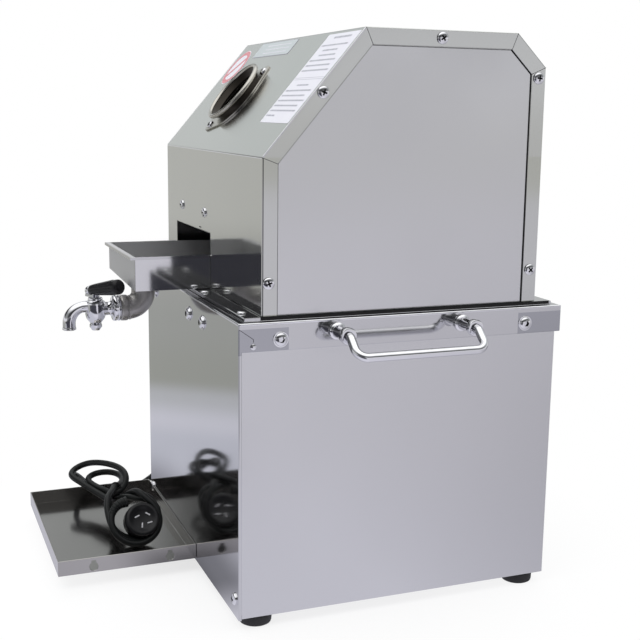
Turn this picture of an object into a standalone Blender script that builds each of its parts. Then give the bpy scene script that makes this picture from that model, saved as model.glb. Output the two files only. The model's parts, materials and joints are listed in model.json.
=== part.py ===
"""Tabletop sugar-cane juicer: a steel cabinet with the motor, a roller press in a housing on top,
a pull-out juice tray with a tap, a drip tray for cups, two carrying handles and a mains lead.

Metres. +X is the machine's right side, -Y its front and +Z up; z is 0 on the bench.
"""
import math

import bmesh
import bpy
from mathutils import Matrix, Vector

# Driving dimensions ---------------------------------------------------------------------------
GAP = 0.0003  # air between two pieces that touch
SHEET = 0.0012  # stainless sheet
REAR_SHIFT = 0.066  # puts the middle of the machine's length at y = 0

FOOT_RADIUS = 0.017
FOOT_HEIGHT = 0.0117
FOOT_X = 0.171
FOOT_Y = 0.154

CABINET_X = 0.1892  # half width
CABINET_Y = 0.1757  # half depth
CABINET_LOW = 0.012
CAP_X = 0.193
CAP_FRONT = -0.1785
CAP_REAR = 0.180
CAP_TOP = 0.314
CAP_SKIRT = 0.028
CAP_SHEET = 0.002
CABINET_HIGH = CAP_TOP - CAP_SHEET - GAP
BASE_X = 0.187
BASE_Y = 0.171
BASE_TOP = 0.3183

HOUSING_X = 0.185
HOUSING_LOW = BASE_TOP + GAP
# front foot, front knee, top front, top back, rear knee and rear foot of the wrap-round cover (y, z)
HOUSING_PROFILE = [
    (-0.153, HOUSING_LOW),
    (-0.153, 0.470),
    (-0.049, 0.593),
    (0.118, 0.593),
    (0.152, 0.560),
    (0.152, HOUSING_LOW),
]
SIDE_RETURN = 0.0165  # width of the cover's folded edge on each side

INLET_X = -0.0395
INLET_UP_SLOPE = 0.075
INLET_RADIUS = 0.036
INLET_LIP = 0.0135  # how far the rolled lip stands off the slope
INLET_EAR = 0.043  # screw distance from the inlet's centre
INLET_TURN = math.radians(26)

ROLLER_RADIUS = 0.035
GEAR_TEETH = 22
GEAR_MODULE = 0.00325
CENTRE_DISTANCE = GEAR_TEETH * GEAR_MODULE
SHAFT_RADIUS = 0.0125
LOWER_Z = 0.400
HALF_SPREAD = 0.043  # from the top roller back or forward to a lower one
TOP_ROLLER = (0.025, LOWER_Z + math.sqrt(CENTRE_DISTANCE**2 - HALF_SPREAD**2))
FEED_ROLLER = (TOP_ROLLER[0] - HALF_SPREAD, LOWER_Z)
DISCHARGE_ROLLER = (TOP_ROLLER[0] + HALF_SPREAD, LOWER_Z)
PLATE_LEFT = (-0.150, -0.142)
PLATE_RIGHT = (0.009, 0.017)
BUSH_RADIUS = 0.017
GEAR_X = (0.0205, 0.0355)

BELT_X = 0.149
BELT_HALF = 0.004
BELT_THICK = 0.006
DRIVEN_PULLEY = (0.025, 0.385, 0.0535)  # y, z and the belt's outer radius
MOTOR_PULLEY = (0.0, 0.120, 0.0285)
MOTOR_RADIUS = 0.075

TRAY_X = (-0.1388, 0.0058)
TRAY_Y = (-0.237, 0.105)
TRAY_Z = (0.319, 0.355)
TAP_X = -0.066
DRAIN_Y = -0.2125
TAP_Y = -0.2676
TAP_Z = 0.2893
ELBOW_RADIUS = 0.0135
LEVER_TURN = math.radians(57)  # from straight back towards the right

CUP_X = (-0.203, 0.033)
CUP_Y = (-0.332, CAP_FRONT - GAP)
CUP_Z = (0.0157, 0.0328)

HANDLE_Y = -0.0085
HANDLE_HALF = 0.069
HANDLE_Z = 0.302
HANDLE_ROD = 0.0045
GRIP_X = 0.2465
GRIP_Z = 0.2855

SWITCH = (-0.095, 0.225)  # y, z on the left wall
GLAND = (-0.140, 0.045)
CORD_RADIUS = 0.0038
CORD_ROUTE = [
    (-0.2068, -0.1400, 0.0450),
    (-0.2280, -0.1405, 0.0445),
    (-0.2460, -0.1460, 0.0360),
    (-0.2550, -0.1580, 0.0220),
    (-0.2560, -0.1800, 0.0085),
    (-0.2540, -0.2050, 0.0045),
    (-0.2510, -0.2300, 0.0075),
    (-0.2440, -0.2520, 0.0210),
    (-0.2310, -0.2670, 0.0375),
    (-0.2125, -0.2745, 0.0465),
    (-0.1975, -0.2720, 0.0475),
]
HANK_CENTRE = (-0.128, -0.2450)
HANK_LENGTH = 0.128
HANK_WIDTH = 0.026
HANK_TURN = math.radians(20)
HANK_Z = (0.0175, 0.072)
LOOP_CENTRE = Vector((-0.030, -0.231, 0.0450))
LOOP_RADIUS = 0.0272
LOOP_TUBE = 0.0048
LOOP_TILT = math.radians(57)  # of the loop's axis, from upright towards the right
PLUG_RADIUS = 0.020

FINISHES = {  # colour, roughness, metallic
    "brushed": ((0.60, 0.60, 0.62), 0.35, 1.0),
    "polished": ((0.62, 0.62, 0.63), 0.10, 1.0),
    "chrome": ((0.75, 0.75, 0.77), 0.08, 1.0),
    "steel": ((0.45, 0.45, 0.46), 0.40, 1.0),
    "iron": ((0.25, 0.26, 0.28), 0.55, 0.6),
    "bronze": ((0.55, 0.38, 0.18), 0.35, 1.0),
    "rubber": ((0.02, 0.02, 0.02), 0.70, 0.0),
    "plastic": ((0.03, 0.03, 0.03), 0.45, 0.0),
}


# Scene and small tools ------------------------------------------------------------------------
def start():
    for old in list(bpy.data.objects):
        bpy.data.objects.remove(old, do_unlink=True)
    made = []
    for name in ("cane_juicer", "cutters"):
        group = bpy.data.collections.new(name)
        bpy.context.scene.collection.children.link(group)
        made.append(group)
    return made


PARTS, CUTTERS = start()


def put(obj, finish=None):
    """Adds an object as a part with its own material, or as a cutter when it has no finish."""
    (PARTS if finish else CUTTERS).objects.link(obj)
    if finish is None:
        obj.hide_render = True
        obj.display_type = "WIRE"
        return obj
    colour, roughness, metallic = FINISHES[finish]
    material = bpy.data.materials.new(obj.name)
    material.use_nodes = True
    shader = material.node_tree.nodes["Principled BSDF"]
    shader.inputs["Base Color"].default_value = (*colour, 1)
    shader.inputs["Roughness"].default_value = roughness
    shader.inputs["Metallic"].default_value = metallic
    obj.data.materials.append(material)
    return obj


def from_bmesh(name, bm, finish, place=(0, 0, 0)):
    mesh = bpy.data.meshes.new(name)
    bm.to_mesh(mesh)
    bm.free()
    obj = bpy.data.objects.new(name, mesh)
    obj.location = place
    return put(obj, finish)


def box(name, low, high, finish=None):
    low, high = Vector(low), Vector(high)
    bm = bmesh.new()
    bmesh.ops.create_cube(bm, size=1)
    bmesh.ops.scale(bm, vec=high - low, verts=bm.verts)
    return from_bmesh(name, bm, finish, (low + high) / 2)


def cylinder(name, start_at, end_at, radius, finish=None, sides=24, end_radius=None):
    start_at, end_at = Vector(start_at), Vector(end_at)
    bm = bmesh.new()
    bmesh.ops.create_cone(
        bm,
        cap_ends=True,
        segments=sides,
        radius1=radius,
        radius2=radius if end_radius is None else end_radius,
        depth=(end_at - start_at).length,
    )
    obj = from_bmesh(name, bm, finish, (start_at + end_at) / 2)
    obj.rotation_euler = (end_at - start_at).to_track_quat("Z", "Y").to_euler()
    return obj


def turned(name, profile, place, axis, finish, sides=32, closed=False):
    """Turns a profile of (radius, height) about an axis; its outer side runs from top to bottom."""
    bm = bmesh.new()
    points = [bm.verts.new((radius, 0, height)) for radius, height in profile]
    pairs = list(zip(points, points[1:]))
    if closed:
        pairs.append((points[-1], points[0]))
    for pair in pairs:
        bm.edges.new(pair)
    obj = from_bmesh(name, bm, finish, place)
    obj.rotation_euler = Vector(axis).to_track_quat("Z", "Y").to_euler()
    screw = obj.modifiers.new("turn", "SCREW")
    screw.steps = sides
    screw.render_steps = sides
    screw.use_merge_vertices = True
    screw.merge_threshold = 0.00001
    return obj


def mesh_from_curve(name, curve, finish, place, turn):
    """A curve's filled solid as a closed mesh object."""
    draft = bpy.data.objects.new(name + "_draft", curve)
    CUTTERS.objects.link(draft)
    bpy.context.view_layer.update()
    mesh = bpy.data.meshes.new_from_object(draft.evaluated_get(bpy.context.evaluated_depsgraph_get()))
    bpy.data.objects.remove(draft)
    bm = bmesh.new()
    bm.from_mesh(mesh)
    bmesh.ops.remove_doubles(bm, verts=bm.verts, dist=0.000001)
    bmesh.ops.recalc_face_normals(bm, faces=bm.faces)
    bm.to_mesh(mesh)
    bm.free()
    mesh.name = name
    mesh.materials.clear()
    obj = bpy.data.objects.new(name, mesh)
    obj.matrix_world = Matrix.Translation(place) @ turn.to_4x4()
    return put(obj, finish)


def plate(name, loops, thickness, finish, place=(0, 0, 0), turn=None):
    """A flat outline, with holes, of an even thickness about its own plane."""
    curve = bpy.data.curves.new(name, "CURVE")
    curve.dimensions = "2D"
    curve.fill_mode = "BOTH"
    curve.extrude = thickness / 2
    for loop in loops:
        spline = curve.splines.new("POLY")
        spline.points.add(len(loop) - 1)
        spline.use_cyclic_u = True
        for point, (across, up) in zip(spline.points, loop):
            point.co = (across, up, 0, 1)
    return mesh_from_curve(name, curve, finish, Vector(place), turn or Matrix.Identity(3))


def tube(name, points, radius, finish, resolution=3, place=(0, 0, 0)):
    """A round rod along a list of points, with closed ends."""
    curve = bpy.data.curves.new(name, "CURVE")
    curve.dimensions = "3D"
    curve.bevel_depth = radius
    curve.bevel_resolution = resolution
    curve.use_fill_caps = True
    spline = curve.splines.new("POLY")
    spline.points.add(len(points) - 1)
    for point, co in zip(spline.points, points):
        point.co = (*co, 1)
    return mesh_from_curve(name, curve, finish, Vector(place), Matrix.Identity(3))


def sheet(name, corners, faces, finish, thickness=SHEET, side=-1):
    """Folded sheet metal: an open surface that Solidify thickens on its inner side."""
    bm = bmesh.new()
    points = [bm.verts.new(corner) for corner in corners]
    for face in faces:
        bm.faces.new([points[i] for i in face])
    obj = from_bmesh(name, bm, finish)
    solid = obj.modifiers.new("sheet", "SOLIDIFY")
    solid.thickness = thickness
    solid.offset = side
    solid.use_even_offset = True
    return obj


def combine(part, tool, operation):
    step = part.modifiers.new(operation.lower(), "BOOLEAN")
    step.operation = operation
    step.solver = "EXACT"
    step.object = tool
    return part


def arc(centre, radius, start_at, end_at, steps):
    """Points on an arc of a flat outline, both ends included; angles in radians."""
    angles = [start_at + (end_at - start_at) * i / steps for i in range(steps + 1)]
    return [(centre[0] + radius * math.cos(a), centre[1] + radius * math.sin(a)) for a in angles]


def circle(centre, radius, steps=24):
    return arc(centre, radius, 0, math.tau, steps)[:-1]


def rounded(points, radius, steps=6):
    """The same line with each inner corner replaced by an arc."""
    points = [Vector(p) for p in points]
    line = [points[0]]
    for before, corner, after in zip(points, points[1:], points[2:]):
        back, ahead = (before - corner).normalized(), (after - corner).normalized()
        half = back.angle(ahead) / 2
        centre = corner + (back + ahead).normalized() * radius / math.sin(half)
        first = (corner + back * radius / math.tan(half) - centre).normalized()
        last = (corner + ahead * radius / math.tan(half) - centre).normalized()
        line += [centre + first.slerp(last, i / steps) * radius for i in range(steps + 1)]
    return line + [points[-1]]


def smooth(points, spacing):
    """Evenly spaced points on a Catmull-Rom curve through the given ones."""
    points = [Vector(p) for p in points]
    ends = [2 * points[0] - points[1], *points, 2 * points[-1] - points[-2]]
    fine = []
    for p0, p1, p2, p3 in zip(ends, ends[1:], ends[2:], ends[3:]):
        for step in range(20):
            t = step / 20
            cubic = (3 * p1 - 3 * p2 + p3 - p0) * t**3
            fine.append(0.5 * (2 * p1 + (p2 - p0) * t + (2 * p0 - 5 * p1 + 4 * p2 - p3) * t**2 + cubic))
    fine.append(points[-1])
    total = sum((b - a).length for a, b in zip(fine, fine[1:]))
    step = total / round(total / spacing)
    line, run = [fine[0]], 0.0
    for a, b in zip(fine, fine[1:]):
        run += (b - a).length
        if run >= step:
            line.append(b)
            run -= step
    return line if (line[-1] - fine[-1]).length < step / 2 else line + [fine[-1]]


def inset(profile, distance):
    """An open profile moved sideways by a distance, its ends kept at their own height."""
    flat = [Vector(p) for p in profile]
    normals = []
    for a, b in zip(flat, flat[1:]):
        along = (b - a).normalized()
        normals.append(Vector((along.y, -along.x)))
    moved = [flat[0] + normals[0] * distance]
    for corner, n1, n2 in zip(flat[1:], normals, normals[1:]):
        middle = (n1 + n2).normalized()
        moved.append(corner + middle * distance / middle.dot(n1))
    return moved + [flat[-1] + normals[-1] * distance]


ALONG_X = Matrix(((0, 0, 1), (1, 0, 0), (0, 1, 0)))  # an outline's plane becomes y-z


# Cabinet --------------------------------------------------------------------------------------
def cabinet_shell():
    """One folded sheet: the floor, both side walls and a return at each wall's front and rear edge."""
    fold = 0.017
    low, step, high = CABINET_LOW, CABINET_LOW + 0.003, CABINET_HIGH
    corners, faces = [], [(10, 15, 5, 0)]
    for sign, first in ((1, 0), (-1, 10)):
        wall, inner = sign * CABINET_X, sign * (CABINET_X - fold)
        corners += [(wall, -CABINET_Y, z) for z in (low, step, high)]
        corners += [(wall, CABINET_Y, z) for z in (high, step, low)]
        corners += [(inner, -CABINET_Y, step), (inner, -CABINET_Y, high)]
        corners += [(inner, CABINET_Y, high), (inner, CABINET_Y, step)]
        for face in ((0, 5, 4, 3, 2, 1), (6, 1, 2, 7), (4, 9, 8, 3)):
            faces.append([first + i for i in face[::sign]])
    shell = sheet("cabinet_shell", corners, faces, "brushed")
    y, z = SWITCH
    wall = -CABINET_X
    hole = box("switch_hole", (wall - 0.01, y - 0.0150, z - 0.0128), (wall + 0.01, y + 0.0150, z + 0.0128))
    combine(shell, hole, "DIFFERENCE")
    y, z = GLAND
    combine(shell, cylinder("gland_hole", (wall - 0.01, y, z), (wall + 0.01, y, z), 0.0065), "DIFFERENCE")


def back_panel():
    face = CABINET_Y + GAP
    panel = box("back_panel", (-0.187, face, 0.014), (0.187, face + SHEET, 0.285), "brushed")
    for column in (-0.060, 0.060):
        for row in range(5):
            z = 0.090 + row * 0.022
            slot = box(
                f"vent_{'left' if column < 0 else 'right'}_{row}",
                (column - 0.027, face - 0.01, z - 0.003),
                (column + 0.027, face + 0.01, z + 0.003),
            )
            combine(panel, slot, "DIFFERENCE")


def feet():
    for side_name, x in (("left", -FOOT_X), ("right", FOOT_X)):
        for end_name, y in (("front", -FOOT_Y), ("rear", FOOT_Y)):
            top = [(0, FOOT_HEIGHT), (FOOT_RADIUS, FOOT_HEIGHT)]
            profile = [*top, (FOOT_RADIUS, 0.004), (0.0155, 0), (0, 0)]
            turned(f"foot_{end_name}_{side_name}", profile, (x, y, 0), (0, 0, 1), "rubber", 24)


def cap_and_base():
    """The cap's sheet runs down to make the whole front wall, with a narrow return at each side."""
    skirt, bottom, returned = CAP_TOP - CAP_SKIRT, CABINET_LOW, CAP_FRONT + 0.0035
    side = [
        (CAP_FRONT, CAP_TOP),
        (CAP_FRONT, bottom),
        (returned, bottom),
        (returned, skirt),
        (CAP_REAR, skirt),
        (CAP_REAR, CAP_TOP),
    ]
    corners = [(x, y, z) for x in (CAP_X, -CAP_X) for y, z in side]
    faces = [(0, 1, 2, 3, 4, 5), (11, 10, 9, 8, 7, 6), (6, 0, 5, 11), (7, 1, 0, 6), (4, 10, 11, 5)]
    cap = sheet("cap_plate", corners, faces, "polished", CAP_SHEET)
    base = box("base_plate", (-BASE_X, -BASE_Y, CAP_TOP + GAP), (BASE_X, BASE_Y, BASE_TOP), "polished")
    slot = box("belt_slot", (BELT_X - 0.012, -0.036, 0.30), (BELT_X + 0.012, 0.074, 0.33))
    combine(cap, slot, "DIFFERENCE")
    combine(base, slot, "DIFFERENCE")


# Housing --------------------------------------------------------------------------------------
def slope_frame():
    """The slope's origin (its lower edge) and its axes: across, up the slope and out of it."""
    (y0, z0), (y1, z1) = HOUSING_PROFILE[1:3]
    up = Vector((0, y1 - y0, z1 - z0)).normalized()
    across = Vector((1, 0, 0))
    turn = Matrix((across, up, across.cross(up))).transposed()
    return Vector((0, y0, z0)), turn


def top_cover():
    outer = HOUSING_PROFILE
    inner = inset(outer, SIDE_RETURN)
    corners = []
    for x in (-HOUSING_X, HOUSING_X):
        corners += [(x, y, z) for y, z in outer] + [(x, y, z) for y, z in inner]
    count = len(outer)
    faces = []
    for i in range(count - 1):
        right = i + 2 * count
        faces.append((i, right, right + 1, i + 1))
        faces.append((i + count, i, i + 1, i + 1 + count))
        faces.append((right, right + count, right + 1 + count, right + 1))
    cover = sheet("top_cover", corners, faces, "brushed")
    front = box("tray_cutout", (-0.140, -0.17, 0.31), (0.007, -0.14, 0.380))
    rear = box("outlet_cutout", (-0.131, 0.14, 0.374), (-0.001, 0.17, 0.446))
    origin, turn = slope_frame()
    centre = origin + turn @ Vector((INLET_X, INLET_UP_SLOPE, 0))
    out = turn.col[2] * 0.01
    hole = cylinder("inlet_hole", centre - out, centre + out, INLET_RADIUS + 0.0006, sides=40)
    for cutter in (front, rear, hole):
        combine(cover, cutter, "DIFFERENCE")


def side_covers():
    outline = [(p.x, p.y) for p in inset(HOUSING_PROFILE, SHEET + 0.0005)]
    middle = HOUSING_X - SHEET - GAP - SHEET / 2
    for name, x in (("side_cover_right", middle), ("side_cover_left", -middle)):
        plate(name, [outline], SHEET, "brushed", (x, 0, 0), ALONG_X)


def feed_inlet():
    origin, turn = slope_frame()
    centre = origin + turn @ Vector((INLET_X, INLET_UP_SLOPE, 0))
    wall, lip = 0.0015, 0.0026
    middle = INLET_RADIUS - wall + lip
    bead = [
        (middle + lip * math.cos(a), INLET_LIP + lip * math.sin(a))
        for a in [math.radians(180 - 45 * i) for i in range(7)]
    ]
    profile = bead + [
        (INLET_RADIUS, INLET_LIP - lip - 0.0004),
        (INLET_RADIUS, -0.040),
        (INLET_RADIUS - wall, -0.040),
    ]
    inlet = turned("feed_inlet", profile, centre, turn.col[2], "polished", 32, closed=True)
    inlet.rotation_euler = turn.to_euler()
    ear = Vector((math.sin(INLET_TURN), math.cos(INLET_TURN))) * INLET_EAR
    body, tip = INLET_RADIUS + 0.0045, 0.0085
    lean = math.acos((body - tip) / ear.length)
    heading = math.atan2(ear.y, ear.x)
    outline = arc(ear, tip, heading - lean, heading + lean, 6)
    outline += arc((0, 0), body, heading + lean, heading + math.pi - lean, 8)
    outline += arc(-ear, tip, heading + math.pi - lean, heading + math.pi + lean, 6)
    outline += arc((0, 0), body, heading + math.pi + lean, heading + math.tau - lean, 8)
    holes = [circle(ear, 0.0022, 8), circle(-ear, 0.0022, 8), circle((0, 0), INLET_RADIUS - wall / 2, 32)]
    seat = centre + turn.col[2] * (GAP + 0.00075)
    flange = plate("inlet_flange", [outline, *holes], 0.0015, None, seat, turn)
    combine(inlet, flange, "UNION")


def outlet_chute():
    low_x, high_x = -0.128, -0.004
    start_y, end_y = 0.108, 0.1994
    start_z, end_z = 0.404, 0.3595
    wall = 0.040
    side = [(start_y, start_z), (end_y, end_z), (end_y, end_z + wall), (start_y, start_z + wall)]
    corners = [(x, y, z) for x in (low_x, high_x) for y, z in side]
    sheet("outlet_chute", corners, [(0, 1, 5, 4), (3, 2, 1, 0), (4, 5, 6, 7)], "brushed")


# Roller press ---------------------------------------------------------------------------------
SHAFTS = {"top": TOP_ROLLER, "feed": FEED_ROLLER, "discharge": DISCHARGE_ROLLER}


def press_frame():
    foot = [(-0.085, HOUSING_LOW), (0.125, HOUSING_LOW)]
    outline = [*foot, (0.125, 0.470), (0.085, 0.512), (-0.040, 0.512), (-0.085, 0.450)]
    holes = [circle(centre, BUSH_RADIUS + GAP) for centre in SHAFTS.values()]
    for side, (low, high) in (("left", PLATE_LEFT), ("right", PLATE_RIGHT)):
        middle = (low + high) / 2
        plate(f"press_plate_{side}", [outline, *holes], high - low, "steel", (middle, 0, 0), ALONG_X)
        for name, centre in SHAFTS.items():
            ring = [circle(centre, BUSH_RADIUS), circle(centre, SHAFT_RADIUS + GAP)]
            plate(f"bush_{name}_{side}", ring, high - low, "bronze", (middle, 0, 0), ALONG_X)
    for name, y, z in (("front", -0.070, 0.400), ("top", 0.025, 0.503), ("rear", 0.113, 0.466)):
        ends = [(PLATE_LEFT[1] + GAP, y, z), (PLATE_RIGHT[0] - GAP, y, z)]
        cylinder(f"tie_bar_{name}", *ends, 0.006, "steel", 16)
    low = (PLATE_LEFT[1] + GAP, TOP_ROLLER[0] - 0.005, LOWER_Z)
    box("turn_plate", low, (PLATE_RIGHT[0] - GAP, TOP_ROLLER[0] + 0.005, LOWER_Z + 0.016), "steel")


def rollers():
    """Each roller has ridges along it and its shaft ends in one piece."""
    ends = {"top": 0.0517, "feed": 0.045, "discharge": 0.045}
    left, right = PLATE_LEFT[1] + 0.0008, PLATE_RIGHT[0] - 0.0008
    ridges, valley = 24, ROLLER_RADIUS - 0.0012
    for name, (y, z) in SHAFTS.items():
        outline = []
        for i in range(ridges):
            for share, radius in ((0, ROLLER_RADIUS), (0.35, ROLLER_RADIUS), (0.5, valley), (0.85, valley)):
                angle = math.tau * (i + share) / ridges
                outline.append((radius * math.cos(angle), radius * math.sin(angle)))
        middle = (left + right) / 2
        drum = plate(f"{name}_roller", [outline], right - left, "polished", (middle, y, z), ALONG_X)
        shaft = cylinder(f"{name}_shaft", (PLATE_LEFT[0] - 0.004, y, z), (ends[name], y, z), SHAFT_RADIUS)
        combine(drum, shaft, "UNION")


def gear_outline(phase):
    """Involute teeth; one of them is centred on the phase angle."""
    pitch_radius = GEAR_TEETH * GEAR_MODULE / 2
    base_radius = pitch_radius * math.cos(math.radians(20))
    root_radius, tip_radius = pitch_radius - 1.25 * GEAR_MODULE, pitch_radius + 0.95 * GEAR_MODULE
    backlash = 0.0004

    def half_angle(radius):
        """Half the tooth's width as an angle, at a radius."""
        def involute(r):
            pressure = math.acos(min(1, base_radius / r))
            return math.tan(pressure) - pressure

        at_pitch = math.pi / 2 / GEAR_TEETH - backlash / 2 / pitch_radius
        return at_pitch + involute(pitch_radius) - involute(max(radius, base_radius))

    flank = [root_radius, base_radius, pitch_radius, tip_radius]
    outline = []
    for tooth in range(GEAR_TEETH):
        middle = phase + math.tau * tooth / GEAR_TEETH
        for side, radii in ((-1, flank), (1, flank[::-1])):
            for radius in radii:
                angle = middle + side * half_angle(radius)
                outline.append((radius * math.cos(angle), radius * math.sin(angle)))
    return outline


def gears():
    middle = sum(GEAR_X) / 2
    pitch = math.tau / GEAR_TEETH
    top_phase = 0.0
    for name, (y, z) in SHAFTS.items():
        phase = top_phase
        if name != "top":
            heading = math.atan2(z - TOP_ROLLER[1], y - TOP_ROLLER[0])
            offset = (heading - top_phase) / pitch
            phase = heading + math.pi - (0.5 - offset) * pitch
        loops = [gear_outline(phase), circle((0, 0), SHAFT_RADIUS + GAP)]
        plate(f"{name}_gear", loops, GEAR_X[1] - GEAR_X[0], "steel", (middle, y, z), ALONG_X)


# Drive ----------------------------------------------------------------------------------------
def pulley(name, centre, shaft_start):
    y, z, outer = centre
    rim, floor = outer + 0.0015, outer - BELT_THICK - 0.0005
    half, top, bottom = 0.0085, BELT_HALF + 0.0015, BELT_HALF + 0.0005
    stem = 0.0095
    profile = [
        (0, half),
        (rim, half),
        (rim, top),
        (floor, bottom),
        (floor, -bottom),
        (rim, -top),
        (rim, -half),
        (stem, -half),
        (stem, shaft_start - BELT_X),
        (0, shaft_start - BELT_X),
    ]
    turned(name, profile, (BELT_X, y, z), (1, 0, 0), "iron", 32)


def loop_round(first, first_radius, second, second_radius):
    """The outline of a band round two circles, the first one above the second."""
    first, second = Vector(first), Vector(second)
    gap = second - first
    heading = math.atan2(gap.y, gap.x)
    lean = math.acos((first_radius - second_radius) / gap.length)
    upper = arc(first, first_radius, heading + lean, heading + math.tau - lean, 20)
    return upper + arc(second, second_radius, heading - lean, heading + lean, 12)


def drive():
    y, z = TOP_ROLLER
    gearbox = box("gearbox", (0.060, -0.050, HOUSING_LOW), (0.132, 0.100, 0.520), "iron")
    edge = gearbox.modifiers.new("edges", "BEVEL")
    edge.width = 0.006
    edge.segments = 2
    output = cylinder("gearbox_output", (0.052, y, z), (0.070, y, z), 0.024)
    combine(gearbox, output, "UNION")
    y, z, _ = DRIVEN_PULLEY
    combine(gearbox, cylinder("gearbox_input", (0.120, y, z), (0.137, y, z), 0.018), "UNION")
    pulley("gearbox_pulley", DRIVEN_PULLEY, 0.137 + GAP)
    y, z, _ = MOTOR_PULLEY
    profile = [
        (0, 0.120),
        (0.030, 0.120),
        (0.030, 0.112),
        (0.066, 0.105),
        (MOTOR_RADIUS, 0.095),
        (MOTOR_RADIUS, -0.085),
        (0, -0.085),
    ]
    turned("motor", profile, (0, y, z), (1, 0, 0), "iron", 32)
    cowl = [(0, 0), (MOTOR_RADIUS + 0.001, 0), (MOTOR_RADIUS + 0.001, -0.030), (0.066, -0.038), (0, -0.038)]
    turned("fan_cowl", cowl, (-0.085 - GAP, y, z), (1, 0, 0), "plastic", 32)
    pulley("motor_pulley", MOTOR_PULLEY, 0.120 + GAP)
    loops = []
    for depth in (0, BELT_THICK):
        big, small = DRIVEN_PULLEY, MOTOR_PULLEY
        loops.append(loop_round(big[:2], big[2] - depth, small[:2], small[2] - depth))
    plate("v_belt", loops, 2 * BELT_HALF, "rubber", (BELT_X, 0, 0), ALONG_X)
    cradle_low = CABINET_LOW + SHEET + GAP
    cradle = box("motor_cradle", (-0.060, -0.058, cradle_low), (0.080, 0.058, 0.078), "iron")
    seat = cylinder("cradle_seat", (-0.10, y, z), (0.12, y, z), MOTOR_RADIUS + GAP, sides=32)
    combine(cradle, seat, "DIFFERENCE")
    combine(cradle, box("cradle_tunnel", (-0.040, -0.10, 0.0), (0.060, 0.10, 0.038)), "DIFFERENCE")
    box("capacitor_box", (-0.045, -0.030, z + MOTOR_RADIUS + GAP), (0.050, 0.030, 0.228), "plastic")


# Juice tray and tap -----------------------------------------------------------------------------
def juice_tray():
    (x0, x1), (y0, y1), (z0, z1) = TRAY_X, TRAY_Y, TRAY_Z
    fall, lip = 0.006, 0.004
    corners = [
        (x0, y0, z0 + fall),
        (x1, y0, z0),
        (x1, y1, z0),
        (x0, y1, z0 + fall),
        (x0, y0, z1),
        (x1, y0, z1),
        (x1, y1, z1),
        (x0, y1, z1),
        (x0, y0 - lip, z1),
        (x1, y0 - lip, z1),
    ]
    faces = [(3, 2, 1, 0), (0, 1, 5, 4), (1, 2, 6, 5), (2, 3, 7, 6), (3, 0, 4, 7), (4, 5, 9, 8)]
    tray = sheet("juice_tray", corners, faces, "polished")
    drain = cylinder("drain_hole", (TAP_X, DRAIN_Y, 0.30), (TAP_X, DRAIN_Y, 0.34), 0.009)
    combine(tray, drain, "DIFFERENCE")


def tap():
    under = TRAY_Z[0] - GAP
    collar_end = TAP_Y + 0.0278
    bend = 0.0182
    path = [(TAP_X, DRAIN_Y, under), (TAP_X, DRAIN_Y, TAP_Z), (TAP_X, collar_end + 0.004, TAP_Z)]
    elbow = tube("tap_elbow", rounded(path, bend, 8), ELBOW_RADIUS, "steel", 4)
    collar_start = (TAP_X, collar_end, TAP_Z)
    collar = cylinder("elbow_collar", collar_start, (TAP_X, collar_end + 0.0085, TAP_Z), 0.0148)
    combine(elbow, collar, "UNION")

    barrel = [
        (0, 0.303),
        (0.0078, 0.303),
        (0.0092, 0.299),
        (0.0092, 0.279),
        (0.0066, 0.272),
        (0.0048, 0.265),
        (0, 0.265),
    ]
    body = turned("tap_body", barrel, (TAP_X, TAP_Y, 0), (0, 0, 1), "chrome", 24)
    neck = cylinder("tap_neck", (TAP_X, TAP_Y, TAP_Z), (TAP_X, collar_end - 0.004, TAP_Z), 0.0078, sides=20)
    flange_start = (TAP_X, collar_end - 0.0085, TAP_Z)
    flange = cylinder("tap_flange", flange_start, (TAP_X, collar_end - GAP, TAP_Z), 0.0148)
    reach = [
        (TAP_X, TAP_Y, 0.2925),
        (TAP_X, TAP_Y - 0.0299, 0.2925),
        (TAP_X, TAP_Y - 0.0299, 0.2670),
    ]
    spout = tube("tap_spout", rounded(reach, 0.018, 8), 0.0072, None, 3)
    for piece in (neck, flange, spout):
        combine(body, piece, "UNION")

    out = Vector((math.sin(LEVER_TURN), math.cos(LEVER_TURN), 0))
    place = Vector((TAP_X, TAP_Y, 0))
    small_end = place + out * -0.006 + Vector((0, 0, 0.3125))
    big_end = place + out * 0.042 + Vector((0, 0, 0.3140))
    along = (big_end - small_end).normalized()
    tail = 0.0102
    outline = arc((0, 0), 0.0048, -math.pi / 2, math.pi / 2, 8)
    outline += arc((-tail, 0), 0.0042, math.pi / 2, 3 * math.pi / 2, 8)
    foot = place + Vector((0, 0, 0.303 + GAP + 0.0014))
    turn = Matrix.Rotation(math.pi / 2 - LEVER_TURN, 3, "Z")
    lever = plate("tap_lever", [outline], 0.0028, "chrome", foot, turn)
    heel = place - out * tail
    post_ends = [heel + Vector((0, 0, z)) for z in (0.3040, 0.3120)]
    post = cylinder("lever_post", *post_ends, 0.0032, sides=12)
    head = cylinder("lever_head", small_end - along * 0.0072, small_end - along * GAP, 0.0052, sides=16)
    combine(lever, post, "UNION")
    combine(lever, head, "UNION")
    cylinder("tap_grip", small_end, big_end, 0.0058, "plastic", 20, 0.0088)


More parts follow.
